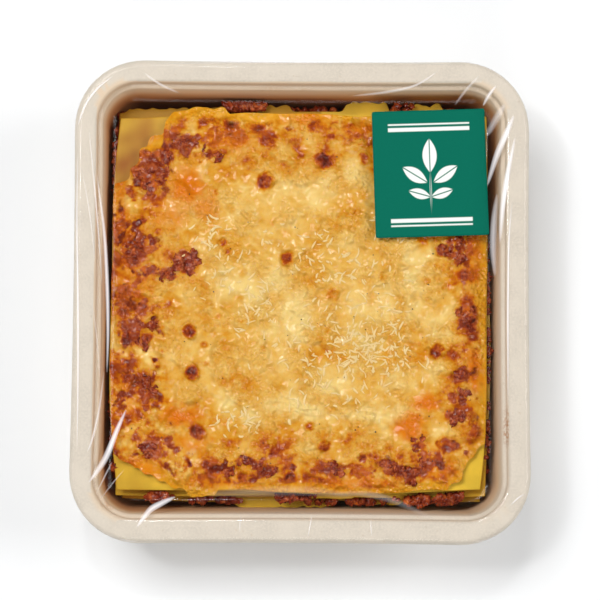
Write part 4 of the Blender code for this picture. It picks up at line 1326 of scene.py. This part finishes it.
class LASAGNE_OT_herbs(bpy.types.Operator):
    """Sprinkles herbs and cracked pepper"""

    bl_idname = "lasagne.herbs"
    bl_label = "Herbs"

    def execute(self, context):
        rough = random.Random(RANDOM_SEED + 3)
        height = ground("baked_cheese")
        parts = []
        while len(parts) < HERB_COUNT:
            x = TOP_HALF_X * rough.uniform(-HERB_REACH, HERB_REACH)
            y = TOP_HALF_Y * rough.uniform(-HERB_REACH, HERB_REACH)
            under = height(x, y)
            if under is None:
                continue
            size = rough.uniform(0.14, 0.38) * MM
            centre = min(under + 0.05 * MM, TOPPING_CEILING - 0.2 * MM)
            shape = (size, size * rough.uniform(0.5, 1.0), 0.12 * MM)
            parts.append(ball((x, y, centre), shape, rough, rough.uniform(0, math.pi), 1, 0.2))
        piece(join(parts), "dried_herbs", herb_material())
        return {"FINISHED"}


class LASAGNE_OT_film(bpy.types.Operator):
    """Draws the clear film over the rim and down on to the food"""

    bl_idname = "lasagne.film"
    bl_label = "Clear Film"

    def execute(self, context):
        bm = loft(film_profile())
        for vertex in bm.verts:
            x, y, z = vertex.co
            if z < RIM_HEIGHT - 1.0 * MM and abs(x) < HALF_X - FILM_SLOPE_START and abs(y) < HALF_Y - FILM_SLOPE_START:
                vertex.co.z += FILM_RIPPLE * (swell(x, y, FILM_RIPPLE_LENGTH, FILM_NOISE) - 0.1)
        piece(bm, "clear_film", film_material(), ["film"])
        return {"FINISHED"}


class LASAGNE_OT_fold_highlights(bpy.types.Operator):
    """Raises the folds in the film and paints their highlights as white lines that glow faintly"""

    bl_idname = "lasagne.folds"
    bl_label = "Film Fold Highlights"

    def execute(self, context):
        height = ground("clear_film")
        parts = []
        highlight_strengths = []
        for *route, width, strength in FILM_FOLD_HIGHLIGHTS:
            steps = FOLD_STEPS * (len(route) - 1)
            middle = []
            for step in range(steps + 1):
                share = step / steps * (len(route) - 1)
                index = min(int(share), len(route) - 2)
                before = Vector(route[max(index - 1, 0)])
                start, end = Vector(route[index]), Vector(route[index + 1])
                after = Vector(route[min(index + 2, len(route) - 1)])
                t = share - index
                spot = 0.5 * (2 * start + (end - before) * t + (2 * before - 5 * start + 4 * end - after) * t**2
                              + (3 * start - before - 3 * end + after) * t**3)
                guess = from_photo(spot.x, spot.y, RIM_HEIGHT - 3.0 * MM)
                level = height(*guess) or RIM_HEIGHT
                middle.append(Vector(from_photo(spot.x, spot.y, level)))
            bm = bmesh.new()
            bmesh.ops.create_grid(bm, x_segments=steps, y_segments=FOLD_CELLS, size=1.0)
            for vertex in bm.verts:
                along, aside = (vertex.co.x + 1.0) / 2, vertex.co.y
                place = min(round(along * steps), steps)
                ahead = middle[min(place + 1, steps)] - middle[max(place - 1, 0)]
                sideways = Vector((-ahead.y, ahead.x)).normalized()
                taper = math.sqrt(max(0.0, math.sin(math.pi * min(max(along, 0.02), 0.98))))
                spot = middle[place] + sideways * aside * FOLD_SPREAD * width * MM * taper
                level = height(spot.x, spot.y)
                while level is None:
                    spot *= 0.998
                    level = height(spot.x, spot.y)
                ridge = FOLD_RIDGE * (1.0 - aside * aside) * taper
                level = min(level + FOLD_LIFT + ridge, FILM_HIGH.z)
                vertex.co = Vector((spot.x, spot.y, level))
                # Painted highlight: strongest along the middle of the fold, fading to its edges and ends
                highlight_strengths.append(FOLD_HIGHLIGHT_OPACITY * strength * (1.0 - abs(aside)) ** 0.7 * taper)
            parts.append(bm)
        made = piece(join(parts), "film_fold_highlights", fold_highlight_material())
        vertex_attribute(made.data, "fold_highlight", highlight_strengths)
        return {"FINISHED"}


class LASAGNE_OT_label(bpy.types.Operator):
    """Sticks the printed label on the film"""

    bl_idname = "lasagne.label"
    bl_label = "Label"

    def execute(self, context):
        _, sizes = settings()
        height = ground("clear_film")
        low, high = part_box("label")
        centre = (low + high) / 2
        turn = Matrix.Rotation(LABEL_TURN, 2)
        half = Vector(LABEL_HALF)
        corner = sizes.label_corner
        bm = bmesh.new()
        bmesh.ops.create_grid(bm, x_segments=LABEL_CELLS[0], y_segments=LABEL_CELLS[1], size=1.0)
        uv = bm.loops.layers.uv.new("print")
        for face in bm.faces:
            for loop in face.loops:
                loop[uv].uv = (loop.vert.co.x, loop.vert.co.y)
        for vertex in bm.verts:
            flat = Vector((vertex.co.x * half.x, vertex.co.y * half.y))
            past = Vector((abs(flat.x) - half.x + corner, abs(flat.y) - half.y + corner))
            if past.x > 0.0 and past.y > 0.0 and past.length > corner:
                past *= corner / past.length
                flat.x = math.copysign(half.x - corner + past.x, flat.x)
                flat.y = math.copysign(half.y - corner + past.y, flat.y)
            spot = turn @ flat
            x, y = centre.x + spot.x, centre.y + spot.y
            vertex.co = Vector((x, y, height(x, y) + LABEL_LIFT))
        bmesh.ops.recalc_face_normals(bm, faces=bm.faces)
        made = piece(bm, "printed_label", label_material(), ["label"])
        solidify = made.modifiers.new("Paper", "SOLIDIFY")
        solidify.thickness = sizes.label_thickness
        solidify.offset = -1.0
        return {"FINISHED"}


class LASAGNE_OT_studio(bpy.types.Operator):
    """Sets the pale floor, the soft lights and the camera"""

    bl_idname = "lasagne.studio"
    bl_label = "Studio"

    def execute(self, context):
        scene = context.scene
        _, sizes = settings()
        bm = bmesh.new()
        bmesh.ops.create_grid(bm, x_segments=1, y_segments=1, size=FLOOR_HALF)
        mesh = bpy.data.meshes.new("floor")
        bm.to_mesh(mesh)
        bm.free()
        material, add = new_material("white studio floor")
        add("OutputMaterial", (add("BsdfPrincipled", {"Base Color": FLOOR_COLOUR, "Roughness": 0.9}),))
        mesh.materials.append(material)
        floor = bpy.data.objects.new("floor", mesh)
        scene.collection.objects.link(floor)
        for name, place, width, share in LAMPS:
            lamp = bpy.data.lights.new(name, "AREA")
            lamp.energy = share * sizes.key_light
            lamp.size = width
            holder = bpy.data.objects.new(name, lamp)
            holder.location = place
            holder.rotation_euler = (-Vector(place)).to_track_quat("-Z", "Y").to_euler()
            scene.collection.objects.link(holder)
        world = bpy.data.worlds.new("even studio light")
        world.use_nodes = True
        sky = world.node_tree.nodes["Background"]
        sky.inputs["Color"].default_value = (1.0, 1.0, 1.0, 1.0)
        sky.inputs["Strength"].default_value = sizes.sky_light
        scene.world = world
        scene.view_settings.view_transform = "Standard"
        lens = bpy.data.cameras.new("camera")
        lens.sensor_width = SENSOR
        lens.lens = LENS
        camera = bpy.data.objects.new("camera", lens)
        camera.location = CAMERA_PLACE
        camera.rotation_euler = CAMERA_TURN.to_euler()
        scene.collection.objects.link(camera)
        scene.camera = camera
        return {"FINISHED"}


class LASAGNE_PT_panel(bpy.types.Panel):
    """Lists the pieces in the sidebar"""

    bl_label = "Lasagne Pack"
    bl_idname = "LASAGNE_PT_panel"
    bl_space_type = "VIEW_3D"
    bl_region_type = "UI"
    bl_category = "Lasagne"

    def draw(self, context):
        for group in (context.scene.lasagne_colours, context.scene.lasagne_sizes):
            for name in group.__annotations__:
                self.layout.prop(group, name)
        for operator in STEPS:
            self.layout.operator(operator.bl_idname)


STEPS = (
    LASAGNE_OT_tray,
    LASAGNE_OT_pasta,
    LASAGNE_OT_sauce,
    LASAGNE_OT_cheese,
    LASAGNE_OT_meat,
    LASAGNE_OT_shreds,
    LASAGNE_OT_herbs,
    LASAGNE_OT_film,
    LASAGNE_OT_fold_highlights,
    LASAGNE_OT_label,
    LASAGNE_OT_studio,
)
CLASSES = (PackColours, PackSizes, *STEPS, LASAGNE_PT_panel)


def register():
    for item in CLASSES:
        bpy.utils.register_class(item)
    bpy.types.Scene.lasagne_colours = PointerProperty(type=PackColours)
    bpy.types.Scene.lasagne_sizes = PointerProperty(type=PackSizes)


def unregister():
    del bpy.types.Scene.lasagne_sizes
    del bpy.types.Scene.lasagne_colours
    for item in reversed(CLASSES):
        bpy.utils.unregister_class(item)


def main():
    register()
    for step in STEPS:
        group, name = step.bl_idname.split(".")
        getattr(getattr(bpy.ops, group), name)()


if __name__ == "__main__":
    main()
